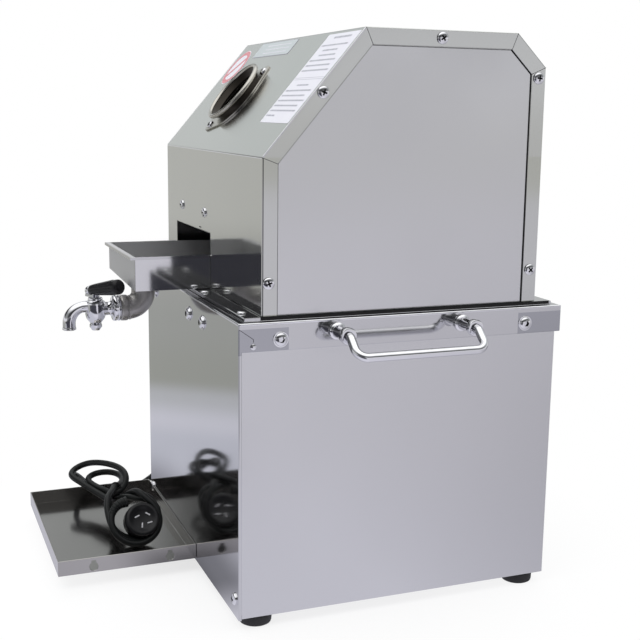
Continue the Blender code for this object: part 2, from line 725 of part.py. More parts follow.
# Drip tray, handles, switch and lead ----------------------------------------------------------
def cup_tray():
    low, high = (CUP_X[0], CUP_Y[0], CUP_Z[0]), (CUP_X[1], CUP_Y[1], CUP_Z[1])
    tray = box("cup_tray", low, high, "polished")
    bm = bmesh.new()
    bm.from_mesh(tray.data)
    bmesh.ops.delete(bm, geom=[f for f in bm.faces if f.normal.z > 0.9], context="FACES")
    bm.to_mesh(tray.data)
    bm.free()
    solid = tray.modifiers.new("sheet", "SOLIDIFY")
    solid.thickness = SHEET
    solid.offset = -1
    solid.use_even_offset = True
    for name, y in (("front", -0.2935), ("rear", -0.2085)):
        loop = arc((y, 0.0225), 0.0048, math.radians(120), math.radians(420), 14)
        loop += [(y + 0.0024, 0.0295), (y - 0.0024, 0.0295)]
        cutter = plate(f"keyhole_{name}", [loop], 0.010, None, (CUP_X[1], 0, 0), ALONG_X)
        combine(tray, cutter, "DIFFERENCE")


def handles():
    for side, sign in (("right", 1), ("left", -1)):
        face = CAP_X + GAP
        for end, y in (("front", HANDLE_Y - HANDLE_HALF), ("rear", HANDLE_Y + HANDLE_HALF)):
            profile = [
                (0, 0.024),
                (HANDLE_ROD + GAP, 0.024),
                (HANDLE_ROD + GAP, 0.031),
                (0.0080, 0.031),
                (0.0084, 0.030),
                (0.0084, 0.024),
                (0.0068, 0.022),
                (0.0068, 0.004),
                (0.0086, 0.003),
                (0.0086, 0),
                (0, 0),
            ]
            place = (sign * face, y, HANDLE_Z)
            turned(f"handle_post_{end}_{side}", profile, place, (sign, 0, 0), "chrome", 24)
        corner = Vector((sign * GRIP_X, 0, GRIP_Z))
        elbow = Vector((sign * (face + 0.0340), 0, HANDLE_Z))
        start_x = Vector((sign * (face + 0.0245), 0, HANDLE_Z))
        front, rear = Vector((0, HANDLE_Y - HANDLE_HALF, 0)), Vector((0, HANDLE_Y + HANDLE_HALF, 0))
        knee = rounded([start_x + front, elbow + front, elbow.lerp(corner, 0.4) + front], 0.006, 3)[:-1]
        far_knee = rounded([elbow.lerp(corner, 0.4) + rear, elbow + rear, start_x + rear], 0.006, 3)[1:]
        bends = rounded([knee[-1], corner + front, corner + rear, far_knee[0]], 0.011, 6)
        tube(f"handle_{side}", knee[:-1] + bends + far_knee[1:], HANDLE_ROD, "chrome", 3)


def switch():
    y, z = SWITCH
    wall = -CABINET_X

    def block(name, x_range, half_y, half_z, finish=None):
        low, high = (wall + x for x in x_range)
        return box(name, (low, y - half_y, z - half_z), (high, y + half_y, z + half_z), finish)

    frame = block("switch_frame", (-0.0025, -GAP), 0.0175, 0.0153, "plastic")
    combine(frame, block("switch_barrel", (-0.001, 0.020), 0.0147, 0.0125), "UNION")
    combine(frame, block("switch_pocket", (-0.01, 0.0125), 0.0120, 0.0113), "DIFFERENCE")
    pivot = (wall + 0.0005, y, z)
    reach = 0.0108
    outline = arc((0, 0), reach, math.radians(-65), math.radians(65), 10)
    outline += [(-0.0052, reach * 0.9), (-0.0030, 0), (-0.0052, -reach * 0.9)]
    turn = Matrix(((1, 0, 0), (0, 0, -1), (0, 1, 0)))
    plate("switch_rocker", [outline], 0.0232, "plastic", pivot, turn)


def lead():
    y, z = GLAND
    wall = -CABINET_X - GAP
    profile = [
        (0.0040, 0.0170),
        (0.0060, 0.0170),
        (0.0085, 0.0140),
        (0.0085, 0.0060),
        (0.0110, 0.0060),
        (0.0110, 0.0),
        (0.0062, 0.0),
        (0.0062, -0.010),
        (0.0040, -0.010),
    ]
    turned("cord_gland", profile, (wall, y, z), (-1, 0, 0), "plastic", 20, closed=True)
    tube("power_cord", smooth(CORD_ROUTE, 0.014), CORD_RADIUS, "rubber", 2)

    straight = HANK_LENGTH / 2 - HANK_WIDTH / 2
    loop = arc((straight, 0), HANK_WIDTH / 2, -math.pi / 2, math.pi / 2, 8)
    loop += arc((-straight, 0), HANK_WIDTH / 2, math.pi / 2, 3 * math.pi / 2, 8)
    middle = (*HANK_CENTRE, sum(HANK_Z) / 2)
    turn = Matrix.Rotation(HANK_TURN, 3, "Z")
    plate("cord_hank", [loop], HANK_Z[1] - HANK_Z[0], "rubber", middle, turn)

    axis = Vector((math.sin(LOOP_TILT), 0, math.cos(LOOP_TILT)))
    section = [
        (LOOP_RADIUS + LOOP_TUBE * math.cos(a), LOOP_TUBE * math.sin(a))
        for a in [-math.tau * i / 8 for i in range(8)]
    ]
    turned("cord_loop", section, LOOP_CENTRE, axis, "rubber", 28, closed=True)
    puck = [
        (0, 0.011),
        (PLUG_RADIUS * 0.92, 0.011),
        (PLUG_RADIUS, 0.009),
        (PLUG_RADIUS, -0.008),
        (PLUG_RADIUS * 0.75, -0.012),
        (0, -0.012),
    ]
    turned("plug", puck, LOOP_CENTRE, axis, "rubber", 24)


# Build ----------------------------------------------------------------------------------------
def build():
    for make in (
        cabinet_shell,
        back_panel,
        feet,
        cap_and_base,
        top_cover,
        side_covers,
        feed_inlet,
        outlet_chute,
        press_frame,
        rollers,
        gears,
        drive,
        juice_tray,
        tap,
        cup_tray,
        handles,
        switch,
        lead,
    ):
        make()
    middle = bpy.data.objects.new("machine", None)
    PARTS.objects.link(middle)
    middle.location = (0, REAR_SHIFT, 0)
    for obj in [*PARTS.objects, *CUTTERS.objects]:
        if obj is not middle:
            obj.parent = middle


build()
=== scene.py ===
"""Looks of the tabletop cane juicer: steel sheet, cast tap, mains lead, screws, labels and light.

Metres. Lengths called x, y, z below are measured from the middle of the cabinet; place() puts them
in the shared frame. +X is the machine's right side, -Y its front and +Z up.
"""
import json
from math import acos, cos, pi, radians, sin, tan, tau
import random

import bmesh
import bpy
import numpy as np
from mathutils import Matrix, Vector


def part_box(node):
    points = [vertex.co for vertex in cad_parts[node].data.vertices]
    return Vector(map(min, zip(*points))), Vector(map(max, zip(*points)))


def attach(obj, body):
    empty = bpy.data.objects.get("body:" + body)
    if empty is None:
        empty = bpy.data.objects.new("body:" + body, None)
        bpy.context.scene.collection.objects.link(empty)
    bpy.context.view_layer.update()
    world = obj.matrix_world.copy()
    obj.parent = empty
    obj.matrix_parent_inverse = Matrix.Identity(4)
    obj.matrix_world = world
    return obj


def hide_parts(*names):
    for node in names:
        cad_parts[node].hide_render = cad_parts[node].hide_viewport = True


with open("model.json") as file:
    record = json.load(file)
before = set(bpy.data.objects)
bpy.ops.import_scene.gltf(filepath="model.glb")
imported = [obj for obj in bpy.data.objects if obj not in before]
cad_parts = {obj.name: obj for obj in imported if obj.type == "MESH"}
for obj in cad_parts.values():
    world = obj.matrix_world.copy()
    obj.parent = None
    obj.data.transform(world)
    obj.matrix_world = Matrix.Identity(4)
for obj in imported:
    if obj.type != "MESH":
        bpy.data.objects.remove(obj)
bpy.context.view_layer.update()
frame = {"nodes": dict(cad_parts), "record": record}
nodes = frame["nodes"]

CENTRE_Y = 0.066  # the cabinet's middle, behind the origin of the shared frame
HOUSING_X = 0.185
SLOPE_FOOT = (-0.153, 0.47)  # y, z of the slope's lower edge
SLOPE_HEAD = (-0.049, 0.593)
HOUSING_FOOT = 0.3186
HOUSING_OUTLINE = [
    (-0.153, HOUSING_FOOT), SLOPE_FOOT, SLOPE_HEAD, (0.118, 0.593), (0.152, 0.56), (0.152, HOUSING_FOOT)]
FLANGE = 0.0165  # the cover's folded edge round each side panel
CAP_X = 0.193
FRONT_Y = -0.1785
BASE_TOP = 0.3183
SIDES = (("right", 1), ("left", -1))
FRONT, BACK = (0, -1, 0), (0, 1, 0)
ON_SIDE = Matrix(((0, 0, 1, 0), (1, 0, 0, CENTRE_Y), (0, 1, 0, 0), (0, 0, 0, 1)))  # for (y, z) drawings


def place(x, y, z):
    """A point given from the cabinet's middle, in the shared frame."""
    return Vector((x, y + CENTRE_Y, z))


def shift(x, y, z=0):
    return Matrix.Translation((x, y, z))


def spin(angle, axis="Z"):
    return Matrix.Rotation(angle, 4, axis)


def aim(origin, out, up=(0, 0, 1)):
    """A matrix that puts a local drawing on a surface: its z points out, its y as near up as can be."""
    out = Vector(out).normalized()
    side = Vector(up).cross(out)
    if side.length < 0.001:
        side = Vector((1, 0, 0))
    side.normalize()
    turn = Matrix((side, out.cross(side), out)).transposed().to_4x4()
    return Matrix.Translation(origin) @ turn


def box(name):
    """The lowest and the highest corner of a CAD piece."""
    return [Vector(corner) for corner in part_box(name)]


def put(name, data):
    """An object of some data, in the scene."""
    obj = bpy.data.objects.new(name, data)
    bpy.context.scene.collection.objects.link(obj)
    return obj


# ---- Camera ----
def camera():
    data = bpy.data.cameras.new("camera")
    data.sensor_width = 36.0
    data.lens = 62.24
    data.clip_start = 0.05
    heading, fall, roll = radians(158.448), radians(10.738), radians(0.7476)
    turn = spin(heading - pi / 2) @ spin(pi / 2 - fall, "X") @ spin(roll)
    cam = put("camera", data)
    cam.matrix_world = shift(1.1775, -0.4184, 0.5144) @ turn
    bpy.context.scene.camera = cam


# ---- Shader tools ----
def feed(tree, socket, value):
    """Links an input to an output, or sets its value."""
    if isinstance(value, bpy.types.NodeSocket):
        tree.links.new(value, socket)
    elif socket.type == "RGBA":
        socket.default_value = (*value, 1)
    else:
        socket.default_value = value


def node(tree, kind, inputs=(), output=0, **settings):
    """Adds a shader node, feeds its inputs by name or number and gives one of its outputs."""
    made = tree.nodes.new("ShaderNode" + kind)
    for name, value in settings.items():
        setattr(made, name, value)
    for socket, value in dict(inputs).items():
        feed(tree, made.inputs[socket], value)
    return made.outputs[output] if made.outputs else None


def maths(tree, operation, *values):
    return node(tree, "Math", enumerate(values), operation=operation)


def mix(tree, factor, first, second):
    """Mixes two colours by a factor."""
    return node(tree, "Mix", {0: factor, 6: first, 7: second}, 2, data_type="RGBA")


def ramp(tree, source, *stops):
    """A soft ramp through (position, colour or grey) stops."""
    colour = node(tree, "ValToRGB", {0: source})
    band = colour.node.color_ramp
    band.interpolation = "EASE"
    while len(band.elements) < len(stops):
        band.elements.new(0.5)
    for element, (position, value) in zip(band.elements, stops):
        element.position = position
        element.color = (*(value if isinstance(value, tuple) else (value,) * 3), 1)
    return colour


def found(tree, kind):
    """The first node of a kind in a tree."""
    return next(n for n in tree.nodes if n.type == kind)


# ---- Materials ----
def surface(name, colour, second, rough, metallic, clouds, grain, relief, strength, specular=0.5):
    """A Principled surface with cloudy colour and roughness, and a fine relief.

    colour and second are the tones outside and in the clouds, rough is the pair of roughnesses there
    and clouds is the clouds' scale. grain is the relief's scale, one number or one each along x, y and
    z, and relief its height in metres.
    """
    mat = bpy.data.materials.new(name)
    mat.use_nodes = True
    tree = mat.node_tree
    where = node(tree, "TexCoord", output="Object")
    cloud = node(tree, "TexNoise", {"Vector": where, "Scale": clouds, "Detail": 4.0})
    gloss = node(tree, "MapRange", {
        "Value": cloud, "From Min": 0.3, "From Max": 0.7, "To Min": rough[0], "To Max": rough[1]})
    stretched = grain if isinstance(grain, tuple) else (grain,) * 3
    drawn = node(tree, "Mapping", {"Vector": where, "Scale": stretched})
    fine = node(tree, "TexNoise", {"Vector": drawn, "Scale": 1.0, "Detail": 3.0})
    bump = node(tree, "Bump", {"Height": fine, "Strength": strength, "Distance": relief})
    looks = {
        "Base Color": mix(tree, cloud, colour, second), "Roughness": gloss, "Normal": bump,
        "Metallic": metallic, "Specular IOR Level": specular}
    for socket, value in looks.items():
        feed(tree, tree.nodes["Principled BSDF"].inputs[socket], value)
    return mat


def waves(mat, scale, height):
    """Adds the slow waviness of thin sheet under the fine relief of a material."""
    tree = mat.node_tree
    fine = found(tree, "BUMP")
    where = found(tree, "TEX_COORD").outputs["Object"]
    slow = node(tree, "TexNoise", {"Vector": where, "Scale": scale, "Detail": 0.0})
    swell = node(tree, "Bump", {"Height": slow, "Strength": 1.0, "Distance": height})
    feed(tree, fine.inputs["Normal"], swell)


def inside(mat, low, high):
    """A factor that is 1 in the part of a material that lies inside a box, and 0 outside it."""
    tree = mat.node_tree
    parts = node(tree, "SeparateXYZ", {0: found(tree, "TEX_COORD").outputs["Object"]}).node
    factor = 1.0
    for axis in range(3):
        for operation, limit in (("GREATER_THAN", low[axis]), ("LESS_THAN", high[axis])):
            within = maths(tree, operation, parts.outputs[axis], float(limit))
            factor = maths(tree, "MULTIPLY", factor, within)
    return factor


def satin_within(mat, low, high, rough):
    """Makes the part of a surface that lies inside a box satin: the brushed inside of a tray."""
    tree = mat.node_tree
    gloss = found(tree, "MAP_RANGE").outputs[0]
    blend = node(tree, "Mix", {0: inside(mat, low, high), 2: gloss, 3: rough})
    feed(tree, tree.nodes["Principled BSDF"].inputs["Roughness"], blend)


def tint_within(mat, boxes, colour):
    """Gives a metal another tone inside some boxes."""
    tree = mat.node_tree
    socket = tree.nodes["Principled BSDF"].inputs["Base Color"]
    for low, high in boxes:
        feed(tree, socket, mix(tree, inside(mat, low, high), socket.links[0].from_socket, colour))


UPRIGHT = (1400, 1400, 18)  # grain that runs up a panel
MATERIALS = {
    "brushed_steel": surface(
        "satin_steel", (0.67, 0.67, 0.68), (0.64, 0.64, 0.65), (0.2, 0.26), 1.0, 5, UPRIGHT, 0.00004, 0.25),
    "housing_steel": surface(
        "housing_steel", (0.62, 0.625, 0.605), (0.58, 0.59, 0.57), (0.08, 0.11), 1.0, 6, UPRIGHT,
        0.00003, 0.2),
    "mirror_steel": surface(
        "mirror_steel", (0.6, 0.6, 0.61), (0.56, 0.56, 0.57), (0.06, 0.11), 1.0, 8, (900, 900, 60),
        0.00001, 0.15),
    "chrome": surface(
        "chrome", (0.8, 0.8, 0.82), (0.74, 0.74, 0.77), (0.06, 0.1), 1.0, 40, 900, 0.00002, 0.2),
    "cast_steel": surface(
        "blasted_casting", (0.49, 0.475, 0.46), (0.4, 0.39, 0.375), (0.32, 0.5), 1.0, 60, 1500,
        0.00015, 0.6),
    "machined_steel": surface(
        "milled_steel", (0.47, 0.47, 0.48), (0.4, 0.4, 0.42), (0.32, 0.45), 1.0, 30, (200, 1800, 1800),
        0.00006, 0.4),
    "alloy_grey": surface(
        "painted_alloy", (0.23, 0.25, 0.27), (0.18, 0.2, 0.22), (0.45, 0.6), 0.0, 25, 900, 0.00018, 0.5),
    "cast_iron": surface(
        "bare_iron", (0.16, 0.16, 0.17), (0.13, 0.1, 0.09), (0.55, 0.75), 0.7, 35, 1100, 0.0003, 0.6),
    "bronze": surface(
        "bearing_bronze", (0.56, 0.38, 0.17), (0.44, 0.28, 0.12), (0.3, 0.45), 1.0, 50, (300, 1500, 1500),
        0.00006, 0.4),
    "foot_rubber": surface(
        "foot_rubber", (0.012, 0.012, 0.013), (0.022, 0.022, 0.023), (0.62, 0.75), 0.0, 80, 1600,
        0.0002, 0.4),
    "belt_rubber": surface(
        "belt_fabric", (0.025, 0.025, 0.026), (0.045, 0.044, 0.042), (0.8, 0.92), 0.0, 150, 2400,
        0.0003, 0.7),
    "cord_rubber": surface(
        "cord_sheath", (0.004, 0.005, 0.005), (0.008, 0.009, 0.009), (0.38, 0.45), 0.0, 90, 1300,
        0.00012, 0.35, 0.25),
    "black_plastic": surface(
        "black_plastic", (0.005, 0.005, 0.006), (0.01, 0.01, 0.011), (0.28, 0.34), 0.0, 70, 1500,
        0.00008, 0.35, 0.3),
}
waves(MATERIALS["brushed_steel"], 6, 0.0006)
waves(MATERIALS["housing_steel"], 7, 0.0005)
waves(MATERIALS["mirror_steel"], 8, 0.0003)
LABEL_WHITE = surface(
    "label_film", (0.8, 0.8, 0.86), (0.76, 0.76, 0.83), (0.35, 0.45), 0.0, 30, 700, 0.00003, 0.3)
LABEL_INK = surface(
    "label_ink", (0.36, 0.36, 0.42), (0.42, 0.42, 0.48), (0.5, 0.6), 0.0, 300, 700, 0.00003, 0.3)
LABEL_SILVER = surface(
    "label_silver", (0.64, 0.69, 0.71), (0.6, 0.65, 0.67), (0.34, 0.4), 0.3, 30, 700, 0.00003, 0.3)
LABEL_PINK = surface(
    "label_pink", (0.62, 0.22, 0.25), (0.68, 0.3, 0.33), (0.4, 0.5), 0.0, 60, 700, 0.00003, 0.3)
# black for the hairline seams, and painted shade: in screw recesses, on the base plate's edge and in the
# front slit
SEAM_AND_SHADE_BLACK = surface(
    "seam_shadow", (0.01, 0.01, 0.011), (0.016, 0.016, 0.017), (0.8, 0.9), 0.0, 60, 900, 0.00005, 0.3)
TRAY_STEEL = surface(
    "tray_steel", (0.49, 0.475, 0.46), (0.46, 0.445, 0.43), (0.12, 0.18), 1.0, 10, (900, 60, 900),
    0.00001, 0.15)
JUICE_STEEL = surface(
    "juice_tray_steel", (0.68, 0.68, 0.69), (0.65, 0.65, 0.66), (0.06, 0.09), 1.0, 10, (900, 60, 900),
    0.00001, 0.15)
CAP_STEEL = surface(
    "cap_steel", (0.63, 0.63, 0.64), (0.6, 0.6, 0.61), (0.06, 0.1), 1.0, 8, (900, 900, 60), 0.00001, 0.15)
PLUG_MARK = surface(
    "plug_mark", (0.62, 0.62, 0.64), (0.52, 0.52, 0.54), (0.45, 0.6), 0.0, 200, 900, 0.00004, 0.3)
INLET_STEEL = surface(
    "inlet_steel", (0.56, 0.54, 0.5), (0.44, 0.42, 0.38), (0.2, 0.28), 1.0, 30, 900, 0.00006, 0.4)
# the funnel under the rolled ring: nearly black, painted shade under the ring
SLEEVE_SHADE_STEEL = surface(
    "inlet_sleeve_painted_shade", (0.05, 0.044, 0.037), (0.03, 0.026, 0.022), (0.35, 0.5), 1.0, 40, 900, 0.00008, 0.4)


# ---- Mesh tools ----
def mesh_of(name, bm):
    mesh = bpy.data.meshes.new(name)
    bm.to_mesh(mesh)
    bm.free()
    return mesh


def piece(name, bm, slot, body="machine", materials=None, sharp=35, stands_for=()):
    """Makes a shown piece of a bmesh, with its material, riding on a CAD body."""
    bmesh.ops.recalc_face_normals(bm, faces=bm.faces)
    mesh = mesh_of(name, bm)
    mesh.shade_smooth()
    mesh.set_sharp_from_angle(angle=radians(sharp))
    for mat in materials or [MATERIALS[slot]]:
        mesh.materials.append(mat)
    obj = put(name, mesh)
    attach(obj, body)
    if stands_for:
        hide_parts(stands_for)
    return obj


def round_steps(steps):
    return [tau * i / steps for i in range(steps)]


def skin(bm, rings, index=0, joined=False):
    """Faces between closed rings of points, and from the last ring to the first if joined."""
    for low, high in zip(rings, rings[1:] + (rings[:1] if joined else [])):
        for i in range(len(low)):
            j = (i + 1) % len(low)
            bm.faces.new((low[i], low[j], high[j], high[i])).material_index = index


def revolve(bm, profile, where=Matrix(), steps=48, index=0):
    """A turned solid of (radius, height) points; one that starts and ends off the axis is a ring."""
    rings = []
    for radius, height in profile:
        if radius < 1e-6:
            rings.append([bm.verts.new(where @ Vector((0, 0, height)))])
            continue
        rings.append([
            bm.verts.new(where @ Vector((radius * cos(a), radius * sin(a), height)))
            for a in round_steps(steps)
        ])
    pairs = list(zip(rings, rings[1:]))
    if profile[0][0] > 0 and profile[-1][0] > 0:
        pairs.append((rings[-1], rings[0]))
    for low, high in pairs:
        for i in range(steps):
            j = (i + 1) % steps
            corners = [low[i % len(low)], low[j % len(low)], high[j % len(high)], high[i % len(high)]]
            corners = list(dict.fromkeys(corners))
            if len(corners) > 2:
                bm.faces.new(corners).material_index = index
    return rings


def sweep(bm, points, radii, sides=24, caps=True):
    """A tube along points, with one radius for all or one for each."""
    points = [Vector(p) for p in points]
    if not isinstance(radii, list):
        radii = [radii] * len(points)
    ahead = [(b - a).normalized() for a, b in zip(points, points[1:])]
    tangents = [ahead[0]] + [(a + b).normalized() for a, b in zip(ahead, ahead[1:])] + [ahead[-1]]
    side = tangents[0].orthogonal().normalized()
    rings = []
    for point, tangent, radius in zip(points, tangents, radii):
        side = (side - tangent * side.dot(tangent)).normalized()
        other = tangent.cross(side)
        rings.append([
            bm.verts.new(point + (side * cos(a) + other * sin(a)) * radius)
            for a in round_steps(sides)
        ])
    skin(bm, rings)
    if caps:
        bm.faces.new(rings[0])
        bm.faces.new(rings[-1])


def prism(bm, outline, low, high, where=Matrix(), index=0):
    """A flat outline made solid between two local heights."""
    rings = [[bm.verts.new(where @ Vector((x, y, z))) for x, y in outline] for z in (low, high)]
    for ring in rings:
        bm.faces.new(ring).material_index = index
    skin(bm, rings, index)


def arc(centre, radius, start_at, end_at, steps):
    angles = [start_at + (end_at - start_at) * i / steps for i in range(steps + 1)]
    return [(centre[0] + radius * cos(a), centre[1] + radius * sin(a)) for a in angles]


def circle(radius, steps=32, centre=(0, 0)):
    return arc(centre, radius, 0, tau, steps)[:-1]


def rounded_rect(x0, y0, x1, y1, radius=0.001, steps=4):
    quarter = pi / 2
    corners = [(x1 - radius, y1 - radius), (x0 + radius, y1 - radius)]
    corners += [(x0 + radius, y0 + radius), (x1 - radius, y0 + radius)]
    line = []
    for i, corner in enumerate(corners):
        line += arc(corner, radius, i * quarter, (i + 1) * quarter, steps)
    return line


def bar(half_x, half_y, radius, steps=2):
    """A rounded rectangle round the local origin."""
    return rounded_rect(-half_x, -half_y, half_x, half_y, radius, steps)


def bend(points, radius, steps=10):
    """The same line with each inner corner replaced by an arc."""
    points = [Vector(p) for p in points]
    line = [points[0]]
    for before, corner, after in zip(points, points[1:], points[2:]):
        back, on = (before - corner).normalized(), (after - corner).normalized()
        half = back.angle(on) / 2
        centre = corner + (back + on).normalized() * radius / sin(half)
        first = (corner + back * radius / tan(half) - centre).normalized()
        last = (corner + on * radius / tan(half) - centre).normalized()
        line += [centre + first.slerp(last, i / steps) * radius for i in range(steps + 1)]
    return line + [points[-1]]


def cut_mesh(body, cutter):
    """The mesh of one bmesh less another."""
    objects = []
    for part in (body, cutter):
        bmesh.ops.recalc_face_normals(part, faces=part.faces)
        objects.append(put("draft", mesh_of("draft", part)))
    less = objects[0].modifiers.new("less", "BOOLEAN")
    less.operation = "DIFFERENCE"
    less.object = objects[1]
    graph = bpy.context.evaluated_depsgraph_get()
    mesh = bpy.data.meshes.new_from_object(objects[0].evaluated_get(graph))
    for obj in objects:
        bpy.data.objects.remove(obj)
    return mesh


def add_copies(bm, mesh, places):
    """Adds copies of a mesh to a bmesh, each at its own place."""
    for where in places:
        start = len(bm.verts)
        bm.from_mesh(mesh)
        bm.verts.ensure_lookup_table()
        bmesh.ops.transform(bm, matrix=where, verts=bm.verts[start:])


def scatter(name, mesh, places, scale=1.0):
    """One piece made of copies of a screw."""
    bm = bmesh.new()
    add_copies(bm, mesh, [where @ Matrix.Scale(scale, 4) for where in places])
    # the second material is the black of the painted shade in each recess
    piece(name, bm, "chrome", materials=[MATERIALS["chrome"], SEAM_AND_SHADE_BLACK], sharp=30)


# ---- Mains lead ----
CORD_D = 0.0076
CORD_ROUTE = [
    (-0.2068, -0.14, 0.045), (-0.228, -0.1405, 0.0445), (-0.246, -0.146, 0.036),
    (-0.255, -0.158, 0.022), (-0.256, -0.18, 0.0085), (-0.254, -0.205, 0.0045),
    (-0.251, -0.23, 0.0075), (-0.244, -0.252, 0.021), (-0.231, -0.267, 0.0375),
    (-0.2125, -0.2745, 0.0465), (-0.1975, -0.272, 0.0475),
]
TO_TURNS = [
    (-0.172, -0.264, 0.044), (-0.146, -0.253, 0.039), (-0.12, -0.244, 0.037), (-0.097, -0.24, 0.042),
    (-0.076, -0.233, 0.053),
]
OUTER_LOOP = [
    (-0.074, -0.256, 0.058), (-0.096, -0.248, 0.053), (-0.11, -0.239, 0.052), (-0.115, -0.23, 0.058),
    (-0.124, -0.225, 0.066), (-0.143, -0.228, 0.071), (-0.166, -0.237, 0.071), (-0.187, -0.249, 0.068),
    (-0.202, -0.261, 0.063), (-0.208, -0.272, 0.056), (-0.2, -0.281, 0.054), (-0.182, -0.277, 0.051),
    (-0.152, -0.263, 0.046), (-0.122, -0.251, 0.043), (-0.098, -0.245, 0.047), (-0.077, -0.237, 0.057),
]
INNER_LOOP = [
    (-0.068, -0.259, 0.062), (-0.092, -0.248, 0.059), (-0.116, -0.238, 0.056), (-0.136, -0.228, 0.056),
    (-0.158, -0.224, 0.056), (-0.178, -0.232, 0.056), (-0.188, -0.248, 0.054), (-0.181, -0.263, 0.05),
    (-0.164, -0.262, 0.047), (-0.144, -0.25, 0.046), (-0.12, -0.24, 0.047), (-0.098, -0.236, 0.052),
    (-0.076, -0.229, 0.061),
]
PLUG_AT = (-0.03, -0.227, 0.0435)
PLUG_TILT = radians(57)  # of the plug's axis, from upright towards the right
TRAY_FLOOR = 0.017
TRAY_RIM = 0.0328


def turns(x, radius, start_at, end_at, count, y=-0.234):
    """Part of a turn of the lead that stands tilted on the tray, facing up and to the right."""
    rise = Vector((-0.545, 0, 0.84))
    points = []
    for i in range(count):
        angle = radians(start_at + (end_at - start_at) * i / (count - 1))
        points.append(Vector((x, y + radius * cos(angle), 0.0465)) + rise * radius * sin(angle))
    return points


def smooth_line(points, spacing):
    """Evenly spaced points on a centripetal Catmull-Rom curve, as an array."""
    given = np.array([list(p) for p in points])
    ends = np.vstack([2 * given[0] - given[1], given, 2 * given[-1] - given[-2]])
    fine = []
    for p0, p1, p2, p3 in zip(ends, ends[1:], ends[2:], ends[3:]):
        t1 = np.linalg.norm(p1 - p0) ** 0.5
        t2 = t1 + np.linalg.norm(p2 - p1) ** 0.5
        t3 = t2 + np.linalg.norm(p3 - p2) ** 0.5
        for t in np.linspace(t1, t2, 24, endpoint=False):
            a1 = (t1 - t) / t1 * p0 + t / t1 * p1
            a2 = (t2 - t) / (t2 - t1) * p1 + (t - t1) / (t2 - t1) * p2
            a3 = (t3 - t) / (t3 - t2) * p2 + (t - t2) / (t3 - t2) * p3
            b1 = (t2 - t) / t2 * a1 + t / t2 * a2
            b2 = (t3 - t) / (t3 - t1) * a2 + (t - t1) / (t3 - t1) * a3
            fine.append((t2 - t) / (t2 - t1) * b1 + (t - t1) / (t2 - t1) * b2)
    return even(np.array(fine + [given[-1]]), spacing)


def length_of(line):
    return float(np.linalg.norm(np.diff(line, axis=0), axis=1).sum())


def spread(line, count, endpoint=True):
    """A number of evenly spaced points along a line."""
    run = np.r_[0, np.cumsum(np.linalg.norm(np.diff(line, axis=0), axis=1))]
    marks = np.linspace(0, run[-1], count, endpoint=endpoint)
    return np.stack([np.interp(marks, run, column) for column in line.T], axis=1)


def even(line, spacing):
    return spread(line, int(round(length_of(line) / spacing)) + 1)


def settle(line, steps=200):
    """Lets the bundled lead spring straight, rest on the tray and push its own turns apart."""
    spacing, room = 0.004, CORD_D * 1.03
    held_start, held_end = 52, 3
    at = even(line, spacing)
    count = len(at)
    rest = np.linalg.norm(np.diff(at, axis=0), axis=1).mean()
    order = np.arange(count)
    apart = np.abs(order[:, None] - order[None]) * rest > 3.0 * CORD_D
    free = np.zeros(count, bool)
    free[held_start:count - held_end] = True
    for _ in range(steps):
        new = at.copy()
        stiff = (-at[:-4] + 4 * at[1:-3] - 6 * at[2:-2] + 4 * at[3:-1] - at[4:]) / 6
        new[2:-2] += 0.5 * stiff
        new[1:-1] += 0.04 * ((at[:-2] + at[2:]) / 2 - at[1:-1])
        between = new[:, None] - new[None]
        gap = np.linalg.norm(between, axis=2) + np.eye(count)
        close = (gap < room) & apart
        push = np.where(close, (room - gap) / 2, 0) / gap
        share = np.maximum(1, close.sum(1))[:, None] ** 0.5
        new += 0.6 * (between * push[:, :, None]).sum(1) / share
        x, y = new[:, 0], new[:, 1]
        over_tray = (x > -0.199) & (x < 0.03) & (y < -0.18)
        over_rim = (x <= -0.198) & (x >= -0.208) & (y < -0.176)
        ground = np.where(over_tray, TRAY_FLOOR, 0.0002)
        ground = np.where(over_rim, TRAY_RIM, ground) + CORD_D / 2
        new[:, 2] = np.maximum(new[:, 2], ground)
        at[free] = new[free]
        for _ in range(4):
            step = at[1:] - at[:-1]
            size = np.linalg.norm(step, axis=1)[:, None]
            mend = step / size * (size - rest) * 0.5
            move = np.zeros_like(at)
            move[:-1] += mend
            move[1:] -= mend
            move[~free] = 0
            at += move * 0.9
    return at


def lead_line():
    """The lead's whole centreline, in the shared frame, every 2 mm."""
    points = [Vector(p) for p in CORD_ROUTE + TO_TURNS]
    points += turns(-0.045, 0.027, 60, -165, 9)
    points += [Vector(p) for p in OUTER_LOOP]
    points += turns(-0.037, 0.028, 60, -165, 9)
    points += [Vector(p) for p in INNER_LOOP]
    points += turns(-0.029, 0.0285, 60, -180, 10)
    points += turns(-0.029, 0.022, 160, 92, 4, y=-0.2405)
    line = smooth_line(settle(smooth_line(points, 0.004)), 0.002)
    line[:, 1] += CENTRE_Y
    return line


def lead():
    """The mains lead with its gland, reliefs, tie and plug."""
    line = lead_line()
    curve = bpy.data.curves.new("mains_lead", "CURVE")
    curve.dimensions = "3D"
    curve.bevel_depth = CORD_D / 2
    curve.bevel_resolution = 5
    curve.use_fill_caps = True
    spline = curve.splines.new("POLY")
    spline.points.add(len(line) - 1)
    for point, co in zip(spline.points, line):
        point.co = (*co, 1)
    curve.materials.append(MATERIALS["cord_rubber"])
    cord = put("mains_lead", curve)
    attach(cord, "machine")
    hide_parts("power_cord", "cord_hank", "cord_loop")

    relief = strain_relief("gland_relief", line[:18], 0.0066, 0.0043)
    plug_relief = strain_relief("plug_relief", line[:-14:-1], 0.0064, 0.0042)
    tie = bundle_tie(line)
    body = plug_body()
    gland()


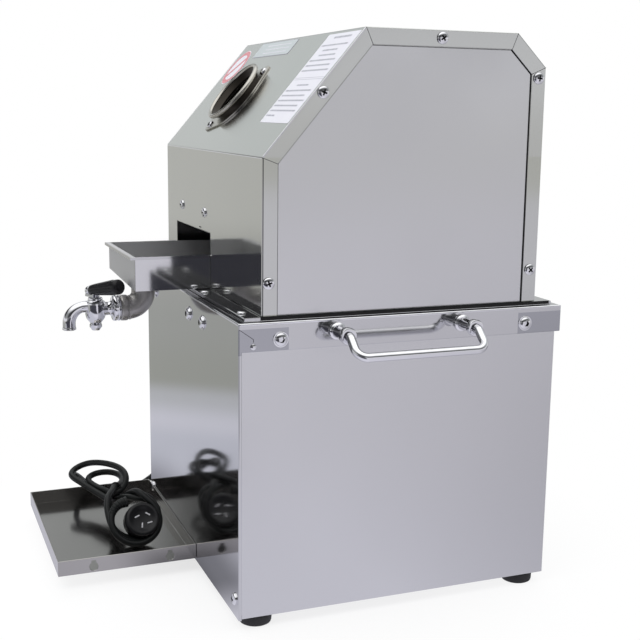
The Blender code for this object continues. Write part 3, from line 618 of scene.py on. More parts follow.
def strain_relief(name, line, thick, thin):
    """A tapered, ringed sleeve over the first stretch of the lead."""
    points = smooth_line(line, 0.0005)
    count = len(points)
    radii = []
    for i in range(count):
        along = i / (count - 1)
        groove = 0.0006 if 0.12 < along < 0.9 and i % 7 in (0, 1) else 0
        radii.append(thick + (thin - thick) * along - groove)
    radii[0] -= 0.0006
    radii[-1] -= 0.0003
    bm = bmesh.new()
    sweep(bm, points, radii, 28)
    return piece(name, bm, "cord_rubber", sharp=50)


def bundle_tie(line):
    """A narrow band pulled tight round the strands where the two loops meet."""
    centre = np.array(place(-0.108, -0.242, 0.05))
    along = np.array((0.93, 0.05, 0.36))
    along /= np.linalg.norm(along)
    side = np.cross(along, (0, 0, 1.0))
    side /= np.linalg.norm(side)
    rise = np.cross(side, along)
    off = (line - centre) @ along
    flat = []
    for i in np.nonzero(off[:-1] * off[1:] < 0)[0]:
        share = off[i] / (off[i] - off[i + 1])
        crossing = line[i] + (line[i + 1] - line[i]) * share - centre
        if np.linalg.norm(crossing) < 0.03:
            flat.append((crossing @ side, crossing @ rise))
    reach = CORD_D / 2 + 0.0002
    hull = convex([(x + p, y + q) for x, y in flat for p, q in circle(reach, 24)])
    loop = spread(np.array(hull + hull[:1]), 72, endpoint=False)
    middle = loop.mean(axis=0)
    bm = bmesh.new()
    rings = []
    for spot in loop:
        out = (spot - middle) / np.linalg.norm(spot - middle)
        ring = []
        for thick, wide in ((0, -0.0019), (0.0012, -0.0017), (0.0012, 0.0017), (0, 0.0019)):
            p, q = spot + out * thick
            ring.append(bm.verts.new(centre + side * p + rise * q + along * wide))
        rings.append(ring)
    skin(bm, rings, joined=True)
    return piece("bundle_tie", bm, "black_plastic", sharp=40)


def convex(points):
    """Convex hull of flat points, anticlockwise."""
    points = sorted(points)

    def half(run):
        line = []
        for p in run:
            while len(line) > 1:
                (ax, ay), (bx, by) = line[-2], line[-1]
                if (bx - ax) * (p[1] - ay) - (by - ay) * (p[0] - ax) > 0:
                    break
                line.pop()
            line.append(p)
        return line[:-1]

    return half(points) + half(points[::-1])


def plug_body():
    """A round rewirable plug: a dished cover with a raised rim, a ring of ribs and three pins behind."""
    where = aim(place(*PLUG_AT), (sin(PLUG_TILT), 0, cos(PLUG_TILT)))
    cover = [
        (0, 0.0085), (0.01, 0.0085), (0.0125, 0.0092), (0.015, 0.0108), (0.0172, 0.011),
        (0.0188, 0.0102), (0.0199, 0.0082), (0.02, 0.006), (0.0192, 0.0052), (0.0192, 0.0042),
        (0.02, 0.0034), (0.02, -0.007), (0.019, -0.0088), (0.016, -0.01), (0.0145, -0.012),
        (0, -0.012),
    ]
    marks = ((-0.006, 0.004, 20), (0.0066, 0.0056, -35), (-0.0014, -0.0068, 80), (0.0078, -0.0046, 10))
    bm = bmesh.new()
    revolve(bm, cover, where, 64)
    rib = rounded_rect(0.019, -0.0006, 0.0203, 0.0006, 0.0003, 2)
    for angle in round_steps(28):
        prism(bm, rib, -0.0062, 0.0026, where @ spin(angle))
    mark = bar(0.003, 0.0007, 0.0006, 3)
    for x, y, lean in marks:
        prism(bm, mark, 0.0084, 0.009, where @ shift(x, y) @ spin(radians(lean)), 1)
    pin = rounded_rect(0.006, -0.003, 0.008, 0.003, 0.0004, 2)
    for angle in (90, 210, 330):
        prism(bm, pin, -0.016, -0.0118, where @ spin(radians(angle)), 2)
    mats = [MATERIALS["black_plastic"], PLUG_MARK, MATERIALS["chrome"]]
    return piece("mains_plug", bm, "black_plastic", materials=mats, stands_for="plug")


def gland():
    """The lead's bush in the left wall: a flange, a ribbed and rounded nose, with a bore."""
    where = aim(place(-0.1895, -0.14, 0.045), (-1, 0, 0))
    bm = bmesh.new()
    profile = [
        (0.004, 0.0168), (0.0058, 0.017), (0.0074, 0.0158), (0.0082, 0.0138), (0.0084, 0.0066),
        (0.0106, 0.006), (0.011, 0.0054), (0.011, 0.0002), (0.0062, 0.0002), (0.0062, -0.01),
        (0.004, -0.01),
    ]
    revolve(bm, profile, where, 48)
    rib = rounded_rect(0.008, -0.0007, 0.009, 0.0007, 0.0003, 2)
    for angle in round_steps(18):
        prism(bm, rib, 0.0066, 0.0136, where @ spin(angle))
    piece("lead_gland", bm, "black_plastic", stands_for="cord_gland")


# ---- Screws and bolts ----
def paint_recess_shade(mesh, reach, floor_at=None):
    """Paints shade into a screw's recess: gives its walls, and its floor if asked, the second material, a
    black that stands in for the shade there.
    """
    for face in mesh.polygons:
        recessed = all(mesh.vertices[v].co.xy.length < reach for v in face.vertices)
        on_floor = floor_at is not None and abs(face.center.z - floor_at) < 0.0001
        if recessed and (abs(face.normal.z) < 0.2 or on_floor):
            face.material_index = 1
    return mesh


def dome(radius, base, height, steps, degrees):
    """The profile of a rounded head, from its side towards its top."""
    angles = [radians(degrees * i) for i in range(steps)]
    return [(radius * cos(a), base + (height - base) * sin(a)) for a in angles]


def pan_screw():
    """A cross-head pan screw, 11 mm across."""
    body, cutter = bmesh.new(), bmesh.new()
    radius, arm, half, floor_at = 0.0055, 0.0029, 0.0008, 0.0011
    revolve(body, [(0, 0), (radius, 0), *dome(radius, 0.0009, 0.0029, 10, 9)], steps=32)
    cross = []
    for i in range(4):
        turn = Matrix.Rotation(pi / 2 * i, 2)
        cross += [tuple(turn @ Vector(p)) for p in ((arm, -half), (arm, half), (half, half))]
    prism(cutter, cross, floor_at, 0.004)
    return paint_recess_shade(cut_mesh(body, cutter), 0.0031, floor_at)


def socket_bolt():
    """A button-head bolt with a hexagon socket and a thin washer, 16 mm across."""
    body, cutter = bmesh.new(), bmesh.new()
    radius = 0.0066
    head = dome(radius, 0.0014, 0.0042, 9, 8.2)
    washer = [(0, 0), (0.0078, 0), (0.008, 0.0003), (0.0078, 0.001), (radius, 0.0011)]
    revolve(body, [*washer, *head, (0, head[-1][1])], steps=36)
    prism(cutter, circle(0.0031, 6), 0.0018, 0.006)
    return paint_recess_shade(cut_mesh(body, cutter), 0.0033)


def fasteners():
    """The screws and bolts of the sheets."""
    pan, bolt = pan_screw(), socket_bolt()
    cover = [(-0.146, 0.3505), (-0.092, 0.531), (0.0325, 0.585), (0.1435, 0.549), (0.1435, 0.3525)]
    for name, sign in SIDES:
        out = (sign, 0, 0)
        spots = [aim(place(sign * HOUSING_X, y, z), out) for y, z in cover]
        turned = [spot @ spin(0.35 + 0.9 * i) for i, spot in enumerate(spots)]
        scatter(f"cover_screws_{name}", pan, turned, 1.08)
        spots = [aim(place(sign * CAP_X, y, 0.297), out) for y in (-0.136, 0.136)]
        scatter(f"cap_bolts_{name}", bolt, spots)
    scatter("front_bolts", bolt, [aim(place(x, FRONT_Y, 0.2927), FRONT) for x in (0.0104, 0.0656, -0.15)])
    low = [aim(place(sign * 0.18, FRONT_Y, 0.031), FRONT) @ Matrix.Scale(1.15, 4) for sign in (1, -1)]
    face = [aim(place(x, SLOPE_FOOT[0], z), FRONT) for x, z in ((-0.113, 0.402), (-0.016, 0.401))]
    scatter("small_front_screws", pan, low + face)
    flat = [(-0.15, -0.1625), (-0.037, -0.163), (0.0275, -0.1655), (0.16, -0.165)]
    scatter("base_strip_screws", pan, [aim(place(x, y, BASE_TOP), (0, 0, 1)) for x, y in flat], 0.85)
    (x0, _, z0), (x1, back, z1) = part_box("back_panel")
    edge = 0.01
    heights = (z0 + edge, (z0 + z1) / 2, z1 - edge)
    spots = [aim((x, back, z), BACK) for x in (x0 + edge, x1 - edge) for z in heights]
    scatter("back_panel_screws", pan, spots, 0.72)


# ---- Housing details ----
UP_SLOPE = Vector((0, SLOPE_HEAD[0] - SLOPE_FOOT[0], SLOPE_HEAD[1] - SLOPE_FOOT[1])).normalized()
ON_SLOPE = aim(place(0, *SLOPE_FOOT), Vector((1, 0, 0)).cross(UP_SLOPE), UP_SLOPE)


def inset_outline(distance):
    """The housing's outline moved inwards."""
    flat = [Vector(p) for p in HOUSING_OUTLINE]
    normals = []
    for a, b in zip(flat, flat[1:]):
        along = (b - a).normalized()
        normals.append(Vector((along.y, -along.x)))
    moved = [flat[0] + normals[0] * distance]
    for corner, n1, n2 in zip(flat[1:], normals, normals[1:]):
        middle = (n1 + n2).normalized()
        moved.append(corner + middle * distance / middle.dot(n1))
    return moved + [flat[-1] + normals[-1] * distance]


def strip(bm, sign, x, start, end, width, thick=0.00015):
    """A thin dark line on a side face, from one (y, z) point to another."""
    a, b = Vector(start), Vector(end)
    across = Vector((-(b - a).y, (b - a).x)).normalized() * width / 2
    prism(bm, [a - across, b - across, b + across, a + across], sign * x, sign * (x + thick), ON_SIDE)


def seams():
    """The hairlines where sheets meet, a black strip of painted shadow on the base plate's edge under the
    housing, and a slit in its front drawn as a black bar of painted shade.
    """
    outer, inner, edge = HOUSING_OUTLINE, inset_outline(FLANGE), inset_outline(FLANGE + 0.0005)
    sunk, shadow_z, corner = 0.0001, 0.3169, SLOPE_FOOT[0] + 0.0013
    for name, sign in SIDES:
        bm = bmesh.new()
        for a, b in list(zip(outer, inner))[1:-1]:
            strip(bm, sign, HOUSING_X - sunk, Vector(a).lerp(b, 0.02), b, 0.0005)
        face = abs(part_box(f"side_cover_{name}")[sign > 0][0])
        for a, b, width in zip(edge[2:], edge[3:], (0.0005, 0.0012, 0.0014)):
            strip(bm, sign, face - sunk, a, b, width)
        strip(bm, sign, HOUSING_X - sunk, (corner, 0.319), (corner, SLOPE_FOOT[1] - 0.001), 0.0009)
        piece(f"flange_seams_{name}", bm, "belt_rubber", materials=[SEAM_AND_SHADE_BLACK])
        bm = bmesh.new()
        # a black strip on the base plate's edge under the housing: painted shadow
        strip(bm, sign, 0.18695, (-0.1545, shadow_z), (0.168, shadow_z), 0.0034, 0.0004)
        piece(f"base_edge_shadow_{name}", bm, "belt_rubber", materials=[SEAM_AND_SHADE_BLACK])
    bm = bmesh.new()
    mitre = [(-0.1775, 0.3085), (-0.1635, 0.2985), (-0.1635, 0.2955)]
    for _, sign in SIDES:
        for a, b in zip(mitre, mitre[1:]):
            strip(bm, sign, CAP_X - sunk, a, b, 0.0005)
    slit = aim(place(-0.034, SLOPE_FOOT[0], 0.383), FRONT)
    # the slit is a flat black bar: painted shade where the opening is dark
    prism(bm, bar(0.0045, 0.0006, 0.0004), -sunk, sunk, slit)
    piece("cap_mitre_seams_and_slit_shade", bm, "belt_rubber", materials=[SEAM_AND_SHADE_BLACK])


def folds():
    """Rounded folds where the cap and the slope are folded down at the sides, in a chrome brighter than the
    sheet: a painted highlight along each fold.
    """
    low, high = box("cap_plate")
    rod, sink = 0.0014, 0.001
    x0, x1, front, back, z = low.x + sink, high.x - sink, low.y + sink, high.y - sink, high.z - sink
    bm = bmesh.new()
    sweep(bm, bend([(x0, back, z), (x0, front, z), (x1, front, z), (x1, back, z)], 0.0015, 4), rod, 12)
    piece("cap_fold_highlight", bm, "chrome")
    rod, sink = 0.0009, 0.0006
    for name, sign in SIDES:
        bm = bmesh.new()
        line = [(sign * (HOUSING_X - sink), run, -sink) for run in (0.001, 0.08, 0.16)]
        sweep(bm, [ON_SLOPE @ Vector(p) for p in line], rod, 12)
        piece(f"slope_fold_highlight_{name}", bm, "chrome")


def rivets():
    """A rivet in each of the cap's front corner tabs."""
    head = [(0, 0), (0.003, 0), (0.0029, 0.0006), (0.0018, 0.0013), (0, 0.0015)]
    bm = bmesh.new()
    for _, sign in SIDES:
        revolve(bm, head, aim(place(sign * CAP_X, -0.1637, 0.2912), (sign, 0, 0)), 24)
    piece("cap_rivets", bm, "chrome")


def dashes(bm, x0, x1, y, height, rng, index=1, off=0.00022):
    """A row of short plain dashes, where a line of print would be."""
    x = x0
    while x < x1 - 0.003:
        width = min(rng.uniform(0.003, 0.01), x1 - x)
        dash = rounded_rect(x, y, x + width, y + height, height * 0.3, 2)
        prism(bm, dash, off, off + 0.00008, ON_SLOPE, index)
        x += width + 0.0013


def labels():
    """The notes label, the plate label and the round sticker, all without words."""
    rng = random.Random(7)
    bm = bmesh.new()
    x0, x1, low, high = 0.0985, 0.1815, 0.0415, 0.157
    prism(bm, rounded_rect(x0, low, x1, high, 0.0015), 0.00005, 0.00022, ON_SLOPE)
    dashes(bm, x0 + 0.022, x1 - 0.016, high - 0.0068, 0.0026, rng)
    for row in range(6):
        inset = 0.004 + (0.014 if row in (1, 2) else 0)
        dashes(bm, x0 + inset, x1 - inset - rng.uniform(0, 0.014), high - 0.0165 - row * 0.0066, 0.0019, rng)
    middle = high - 0.0605
    for y in (middle, middle + 0.0022):
        rule = rounded_rect(x0 + 0.001, y, x1 - 0.001, y + 0.0004, 0.0001, 1)
        prism(bm, rule, 0.00022, 0.00028, ON_SLOPE, 1)
    dashes(bm, x0 + 0.024, x1 - 0.024, middle - 0.008, 0.0018, rng)
    for row in range(6):
        end = x1 - 0.004 - (0.05 if row == 5 else rng.uniform(0, 0.012))
        dashes(bm, x0 + 0.004, end, middle - 0.015 - row * 0.0064, 0.0019, rng)
    piece("notes_label", bm, "black_plastic", materials=[LABEL_WHITE, LABEL_INK])

    bm = bmesh.new()
    x0, x1, low, high, rim = -0.116, 0.008, 0.1365, 0.1585, 0.0007
    prism(bm, rounded_rect(x0, low, x1, high, 0.0015), 0.00005, 0.0002, ON_SLOPE, 1)
    prism(bm, rounded_rect(x0 + rim, low + rim, x1 - rim, high - rim), 0.0002, 0.0003, ON_SLOPE)
    for row in range(3):
        dashes(bm, x0 + 0.03, x1 - 0.014, high - 0.0065 - row * 0.0055, 0.0014, rng, 2, 0.00032)
    piece("plate_label", bm, "black_plastic", materials=[LABEL_SILVER, LABEL_INK, LABEL_WHITE])

    bm = bmesh.new()
    spot = ON_SLOPE @ shift(-0.153, 0.1235)
    revolve(bm, [(0, 0.00005), (0.0265, 0.00005), (0.0265, 0.0002), (0, 0.0002)], spot, 64)
    revolve(bm, [(0.0195, 0.0002), (0.0255, 0.0002), (0.0255, 0.0003), (0.0195, 0.0003)], spot, 64, 1)
    prism(bm, bar(0.02, 0.0028, 0.0004), 0.0002, 0.00028, spot @ spin(radians(45)), 1)
    piece("round_sticker", bm, "black_plastic", materials=[LABEL_WHITE, LABEL_PINK])


def inlet():
    """The feed mouth: a rolled ring on a funnel, a two-eared flange and its screws."""
    mouth = ON_SLOPE @ shift(-0.0455, 0.0765)
    bore = ON_SLOPE @ shift(-0.0395, 0.075)
    seat = ON_SLOPE @ shift(-0.042, 0.0725)
    radius, lip, wall, bead = 0.036, 0.0092, 0.0015, 0.0026
    throat, foot, top = radius - 0.0035, 0.0024, lip - 0.0012
    sleeve = [
        (radius + 0.0004, top), (radius - 0.0022, 0.004), (throat, foot), (throat, -0.04),
        (throat - wall, -0.04), (throat - wall, 0.0036), (radius - wall, lip - 0.0006),
    ]
    bm = bmesh.new()
    revolve(bm, circle(bead, 24, (radius - wall + bead, lip)), mouth, 96)
    funnel = revolve(bm, sleeve, bore, 96, index=1)
    # the funnel leans: its top follows the ring, its foot the bore in the cover
    for (_, height), ring in zip(sleeve, funnel):
        share = min(max((height - foot) / (top - foot), 0.0), 1.0)
        for vert in ring:
            vert.co += (mouth.translation - bore.translation) * share
    reach, body, tip, heading = 0.0463, radius + 0.0041, 0.006, radians(63)
    ear = Vector((cos(heading), sin(heading))) * reach
    lean = acos((body - tip) / reach)
    outline = []
    for sign, start in ((1, heading), (-1, heading + pi)):
        outline += arc(ear * sign, tip, start - lean, start + lean, 12)
        outline += arc((0, 0), body, start + lean, start + pi - lean, 24)
    flange, hole = bmesh.new(), bmesh.new()
    prism(flange, outline, 0.0003, 0.0018)
    prism(hole, circle(throat - wall / 2, 72, (seat.inverted() @ bore.translation).to_2d()), -0.01, 0.01)
    add_copies(bm, cut_mesh(flange, hole), [seat])
    # the funnel takes the nearly black steel: painted shade under the ring
    steels = [INLET_STEEL, SLEEVE_SHADE_STEEL]
    piece("inlet_mouth", bm, "cast_steel", materials=steels, sharp=28, stands_for="feed_inlet")
    spots = [seat @ shift(*(ear * sign * 0.94), 0.0018) for sign in (1, -1)]
    scatter("inlet_screws", pan_screw(), spots, 0.85)


# ---- Juice tray and tap ----
TAP_X, DRAIN_Y, TAP_Y, TAP_Z = -0.066, -0.2125, -0.2676, 0.2893
LEVER_TURN = radians(57)


def tray_hem():
    """The folded rim of the juice tray, outside the cut-out."""
    low, high = box("juice_tray")
    rear, proud, drop = SLOPE_FOOT[0] + CENTRE_Y - 0.002, 0.0007, 0.003
    x0, x1, front = low.x - proud, high.x + proud, low.y - proud
    outer = [(x0, rear), (x0, front), (x1, front), (x1, rear)]
    inner = [(high.x, rear), (high.x, low.y), (low.x, low.y), (low.x, rear)]
    bm = bmesh.new()
    prism(bm, outer + inner, high.z - drop, high.z)
    piece("juice_tray_hem", bm, "mirror_steel", "juice_tray")


def tap_elbow():
    """The cast elbow under the tray, with a rim at each end."""
    collar, under = TAP_Y + 0.0278, 0.3187
    path = [place(TAP_X, DRAIN_Y, under), place(TAP_X, DRAIN_Y, TAP_Z), place(TAP_X, collar + 0.004, TAP_Z)]
    rim = [
        (0, 0), (0.0138, 0), (0.0146, 0.0008), (0.0148, 0.002), (0.0148, 0.0066), (0.0145, 0.0078),
        (0.0137, 0.0086), (0.0137, 0.01), (0.0141, 0.0104), (0.0141, 0.0112), (0, 0.0122),
    ]
    top_rim = [(0, 0), (0.0147, 0), (0.0148, 0.004), (0.0143, 0.0052), (0.0135, 0.0056), (0, 0.006)]
    bm = bmesh.new()
    sweep(bm, bend(path, 0.0182, 16), 0.0135, 48)
    revolve(bm, rim, aim(place(TAP_X, collar, TAP_Z), BACK), 56)
    revolve(bm, top_rim, aim(path[0], (0, 0, -1)), 56)
    piece("elbow_casting", bm, "cast_steel", "juice_tray", sharp=40, stands_for="tap_elbow")


def tap_valve():
    """The chrome barrel, its threaded neck and the hooked spout."""
    barrel = [
        (0, 0.303), (0.007, 0.303), (0.0078, 0.3026), (0.0082, 0.301), (0.0082, 0.2996),
        (0.0104, 0.2984), (0.011, 0.2968), (0.011, 0.295), (0.0116, 0.289), (0.0114, 0.283),
        (0.0102, 0.279), (0.008, 0.2758), (0.0064, 0.274), (0.0064, 0.2724), (0.007, 0.2718),
        (0.007, 0.269), (0.0056, 0.2672), (0.0044, 0.2652), (0, 0.265),
    ]
    neck = [
        (0, 0.003), (0.009, 0.006), (0.008, 0.0096), (0.0076, 0.0125), (0.0074, 0.015),
        (0.008, 0.0168), (0.0098, 0.018), (0.0134, 0.019), (0.0144, 0.0198), (0.0147, 0.021),
        (0.0147, 0.0226), (0.014, 0.0234), (0.014, 0.0244), (0.0147, 0.0252), (0.0146, 0.0266),
        (0.014, 0.0274), (0, 0.0275),
    ]
    mouth = [
        (0, -0.003), (0.0072, -0.003), (0.0077, -0.002), (0.0077, -0.0002), (0.007, 0.0004),
        (0.0058, 0.0004), (0.0056, -0.001), (0, -0.0012),
    ]
    high, out = 0.2925, TAP_Y - 0.0299
    spout = bend([place(TAP_X, TAP_Y, high), place(TAP_X, out, high), place(TAP_X, out, 0.2674)], 0.018, 18)
    bm = bmesh.new()
    revolve(bm, barrel, shift(*place(TAP_X, TAP_Y, 0)), 48)
    revolve(bm, neck, aim(place(TAP_X, TAP_Y, TAP_Z), BACK), 56)
    sweep(bm, spout, [0.0062 + 0.001 * min(1, abs(i - 4) / 10) for i in range(len(spout))], 36)
    revolve(bm, mouth, aim(spout[-1], (0, 0, -1)), 36)
    piece("tap_valve", bm, "chrome", "juice_tray", sharp=38, stands_for="tap_body")


def tap_lever():
    """The lever's arm, hooked up at its heel, and the ridged and tapered black handle on it."""
    out = Vector((sin(LEVER_TURN), cos(LEVER_TURN), 0))
    base, tail = place(TAP_X, TAP_Y, 0), 0.0102
    small_end = base + out * -0.006 + Vector((0, 0, 0.3105))
    big_end = base + out * 0.041 + Vector((0, 0, 0.319))
    along = (big_end - small_end).normalized()
    outline = arc((0, 0), 0.0048, -pi / 2, pi / 2, 14)
    outline += arc((-tail, 0), 0.0042, pi / 2, 3 * pi / 2, 14)
    foot = shift(*base.xy, 0.3033) @ spin(pi / 2 - LEVER_TURN)
    heel = base - out * tail
    hook = [heel + Vector((0, 0, 0.3042)), heel + Vector((0, 0, 0.3112)), small_end - along * 0.0026]
    collar = [(0, 0), (0.005, 0), (0.0053, 0.001), (0.0051, 0.0036), (0.004, 0.0062), (0, 0.0068)]
    bm = bmesh.new()
    prism(bm, outline, 0, 0.0028, foot)
    revolve(bm, [(0, 0.0027), (0.004, 0.0027), (0.004, 0.0034), (0.0026, 0.0044), (0, 0.0046)], foot, 32)
    sweep(bm, bend(hook, 0.0028, 6), 0.003, 24)
    revolve(bm, collar, aim(small_end - along * 0.0003, -along), 32)
    piece("lever_arm", bm, "chrome", "tap_lever", sharp=38, stands_for="tap_lever")

    grip = aim(small_end, along)
    length = (big_end - small_end).length
    profile = [(0, 0), (0.005, 0), (0.0058, 0.001)]
    profile += [(0.0058 + 0.0028 * (i / 12) ** 0.8, 0.001 + (length - 0.006) * i / 12) for i in range(1, 13)]
    profile += [(0.0084, length - 0.0026), (0.007, length - 0.0006), (0.005, length), (0, length)]
    ridge = [Vector((0.0058 + 0.0024 * k / 6, 0, 0.006 + (length - 0.016) * k / 6)) for k in range(7)]
    bm = bmesh.new()
    revolve(bm, profile, grip, 48)
    for angle in round_steps(12):
        sweep(bm, [grip @ spin(angle) @ p for p in ridge], 0.0007, 8)
    piece("lever_handle", bm, "black_plastic", "tap_lever", sharp=40, stands_for="tap_grip")


# ---- Handles and feet ----
def handles():
    """A bent rod on two turned bosses at each side."""
    rod, half, middle, high = 0.0045, 0.069, -0.0085, 0.302
    face, bore = CAP_X + 0.0003, rod + 0.0003
    boss = [
        (0, 0), (0.0082, 0), (0.0086, 0.0005), (0.0086, 0.0026), (0.0078, 0.0034), (0.0068, 0.004),
        (0.0066, 0.005), (0.0066, 0.0215), (0.007, 0.0232), (0.0082, 0.024), (0.0084, 0.025),
        (0.0084, 0.0298), (0.0079, 0.0307), (0.007, 0.031), (bore, 0.0308), (bore, 0.024), (0, 0.024),
    ]
    near, far = middle - half, middle + half
    for side, sign in SIDES:
        for end, y in (("front", near), ("rear", far)):
            bm = bmesh.new()
            revolve(bm, boss, aim(place(sign * face, y, high), (sign, 0, 0)), 40)
            piece(f"handle_boss_{end}_{side}", bm, "chrome", stands_for=f"handle_post_{end}_{side}")
        root, elbow, corner = ((face + 0.0245, high), (face + 0.034, high), (0.2465, 0.2855))
        a, b, c = ([place(sign * x, y, z) for y in (near, far)] for x, z in (root, elbow, corner))
        knee = bend([a[0], b[0], b[0].lerp(c[0], 0.4)], 0.006, 6)[:-1]
        far_knee = bend([b[1].lerp(c[1], 0.4), b[1], a[1]], 0.006, 6)[1:]
        grip = bend([knee[-1], *c, far_knee[0]], 0.011, 12)
        bm = bmesh.new()
        sweep(bm, knee[:-1] + grip + far_knee[1:], rod, 28)
        piece(f"carry_bar_{side}", bm, "chrome", stands_for=f"handle_{side}")


def feet():
    """Round rubber feet with a hollow for the screw underneath."""
    for name in ("foot_front_left", "foot_front_right", "foot_rear_left", "foot_rear_right"):
        (x0, y0, _), (x1, y1, tall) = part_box(name)
        profile = [
            (0, 0.002), (0.006, 0.002), (0.0064, 0.0), (0.015, 0.0), (0.016, 0.0006),
            (0.0166, 0.0022), (0.017, tall - 0.0022), (0.0168, tall - 0.001), (0.016, tall - 0.0001),
            (0, tall),
        ]
        bm = bmesh.new()
        revolve(bm, profile, shift((x0 + x1) / 2, (y0 + y1) / 2), 56)
        piece(f"rubber_{name}", bm, "foot_rubber", stands_for=name)


# ---- Press ----
def rollers():
    """Rolls with fine slanting ribs, on stepped journals."""
    x0, x1, ribs, rows, slant = -0.1412, 0.0082, 44, 26, radians(14)
    for name in ("top", "feed", "discharge"):
        low, high = box(f"{name}_roller")
        middle = (low + high) / 2
        bm = bmesh.new()
        rings = []
        for row in range(rows + 1):
            along = row / rows
            ring = []
            for k, angle in enumerate(round_steps(ribs * 4)):
                turn = angle + slant * along
                radius = 0.0349 - (0.0011, 0.0004, 0.0, 0.0004)[k % 4]
                y, z = middle.y + radius * cos(turn), middle.z + radius * sin(turn)
                ring.append(bm.verts.new((x0 + (x1 - x0) * along, y, z)))
            rings.append(ring)
        skin(bm, rings)
        bm.faces.new(rings[0])
        bm.faces.new(rings[-1])
        left = [(0, low.x), (0.0113, low.x), (0.0125, low.x + 0.0012), (0.0125, x0 - 0.0004)]
        left += [(0.0126, x0), (0, x0)]
        right = [(0, x1), (0.0126, x1), (0.0125, high.x - 0.0012), (0.0113, high.x), (0, high.x)]
        for journal in (left, right):
            revolve(bm, journal, shift(0, middle.y, middle.z) @ spin(pi / 2, "Y"), 48)
        body, stands_for = f"{name}_roller_set", f"{name}_roller"
        piece(f"ribbed_{name}_roll", bm, "machined_steel", body, sharp=25, stands_for=stands_for)


# ---- Back and left side ----
def louvres():
    """Pressed hoods over the back panel's two columns of slots."""
    panel, sunk, tall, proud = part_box("back_panel")[1][1], 0.0006, 0.0125, 0.0042
    bm = bmesh.new()
    for column in (-0.06, 0.06):
        for row in range(5):
            z = 0.0865 + row * 0.022
            rings = []
            for x, out in ((-0.034, 0.0), (-0.028, proud), (0.028, proud), (0.034, 0.0)):
                spots = ((panel + out, z), (panel, z + tall), (panel - sunk, z + tall), (panel - sunk, z))
                rings.append([bm.verts.new((column + x, y, up)) for y, up in spots])
            skin(bm, rings)
            bm.faces.new(rings[0])
            bm.faces.new(rings[-1])
    piece("back_louvres", bm, "brushed_steel", sharp=20)


def switch_marks():
    """A bar and a ring on the rocker, and a raised rim round the switch."""
    low, high = box("switch_rocker")
    middle = (low + high) / 2
    where = aim((low.x + 0.0002, middle.y, middle.z), (-1, 0, 0)) @ shift(0, 0, -0.0012)
    ring = [(0.0018, 0.0008), (0.0026, 0.0008), (0.0026, 0.0014), (0.0018, 0.0014)]
    bm = bmesh.new()
    revolve(bm, ring, where @ shift(0, -0.005), 28)
    prism(bm, rounded_rect(-0.0004, 0.003, 0.0004, 0.0078, 0.0002, 2), 0.0008, 0.0014, where)
    piece("rocker_marks", bm, "black_plastic", "switch_rocker", materials=[LABEL_WHITE])
    (x, y0, z0), (_, y1, z1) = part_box("switch_frame")
    inset = 0.0012
    outline = rounded_rect(y0 + inset, z0 + inset, y1 - inset, z1 - inset, 0.002)
    line = [(x - 0.0001, y, z) for y, z in outline]
    bm = bmesh.new()
    sweep(bm, line + line[:1], 0.0007, 10, caps=False)
    piece("switch_rim", bm, "black_plastic")


# ---- Metal left as CAD ----
EDGE_ROUNDS = {
    "top_cover": 0.001, "cap_plate": 0.0018, "base_plate": 0.0006, "cabinet_shell": 0.0006,
    "back_panel": 0.0005, "juice_tray": 0.0005, "cup_tray": 0.0005, "outlet_chute": 0.0005,
    "side_cover_left": 0.0003, "side_cover_right": 0.0003, "switch_frame": 0.0005,
    "switch_rocker": 0.0005, "gearbox": 0.002, "capacitor_box": 0.0015, "motor_cradle": 0.0008,
    "press_plate_left": 0.0006, "press_plate_right": 0.0006,
}


def special_steels():
    """The satin upper housing and juice tray, and the darker corner tabs of the cap."""
    satin_within(MATERIALS["housing_steel"], (-1, -1, SLOPE_FOOT[1]), (1, 1, 1), 0.18)
    wall = Vector((0.0008, 0.0008, 0))
    low, high = box("juice_tray")
    satin_within(JUICE_STEEL, low + wall, high - wall, 0.5)
    tabs = []
    for near, far in ((-0.2, -0.1277), (0.1277, 0.2)):
        for left, right in ((-0.2, -0.1915), (0.1915, 0.2)):
            tabs.append((place(left, near, 0.2832), place(right, far, 0.3085)))
    tint_within(CAP_STEEL, tabs, (0.43, 0.435, 0.46))


def dress_nodes():
    """Every CAD piece that stays gets its own finish, and folded or sawn edges get a small round."""
    slot_of = {row["node"]: row["material_slot"] for row in frame["record"]["subparts"]}
    own = {"cup_tray": TRAY_STEEL, "cap_plate": CAP_STEEL, "juice_tray": JUICE_STEEL}
    for name, obj in nodes.items():
        obj.data.materials.clear()
        obj.data.materials.append(own.get(name, MATERIALS[slot_of[name]]))
        weld = obj.modifiers.new("weld", "WELD")
        weld.merge_threshold = 0.00001
        if name in EDGE_ROUNDS:
            edge = obj.modifiers.new("edge", "BEVEL")
            edge.width = EDGE_ROUNDS[name]
            edge.segments = 3
            edge.limit_method = "ANGLE"
            edge.angle_limit = radians(40)
            edge.use_clamp_overlap = True
            level = obj.modifiers.new("level", "WEIGHTED_NORMAL")
            level.keep_sharp = True


# ---- Stage and light ----
def by_ray(tree, seen, others, output):
    """Ends a tree: the camera sees one shader, and every other ray meets another."""
    camera_ray = node(tree, "LightPath", output="Is Camera Ray")
    chosen = node(tree, "MixShader", {0: camera_ray, 1: others, 2: seen})
    node(tree, output, {"Surface": chosen})


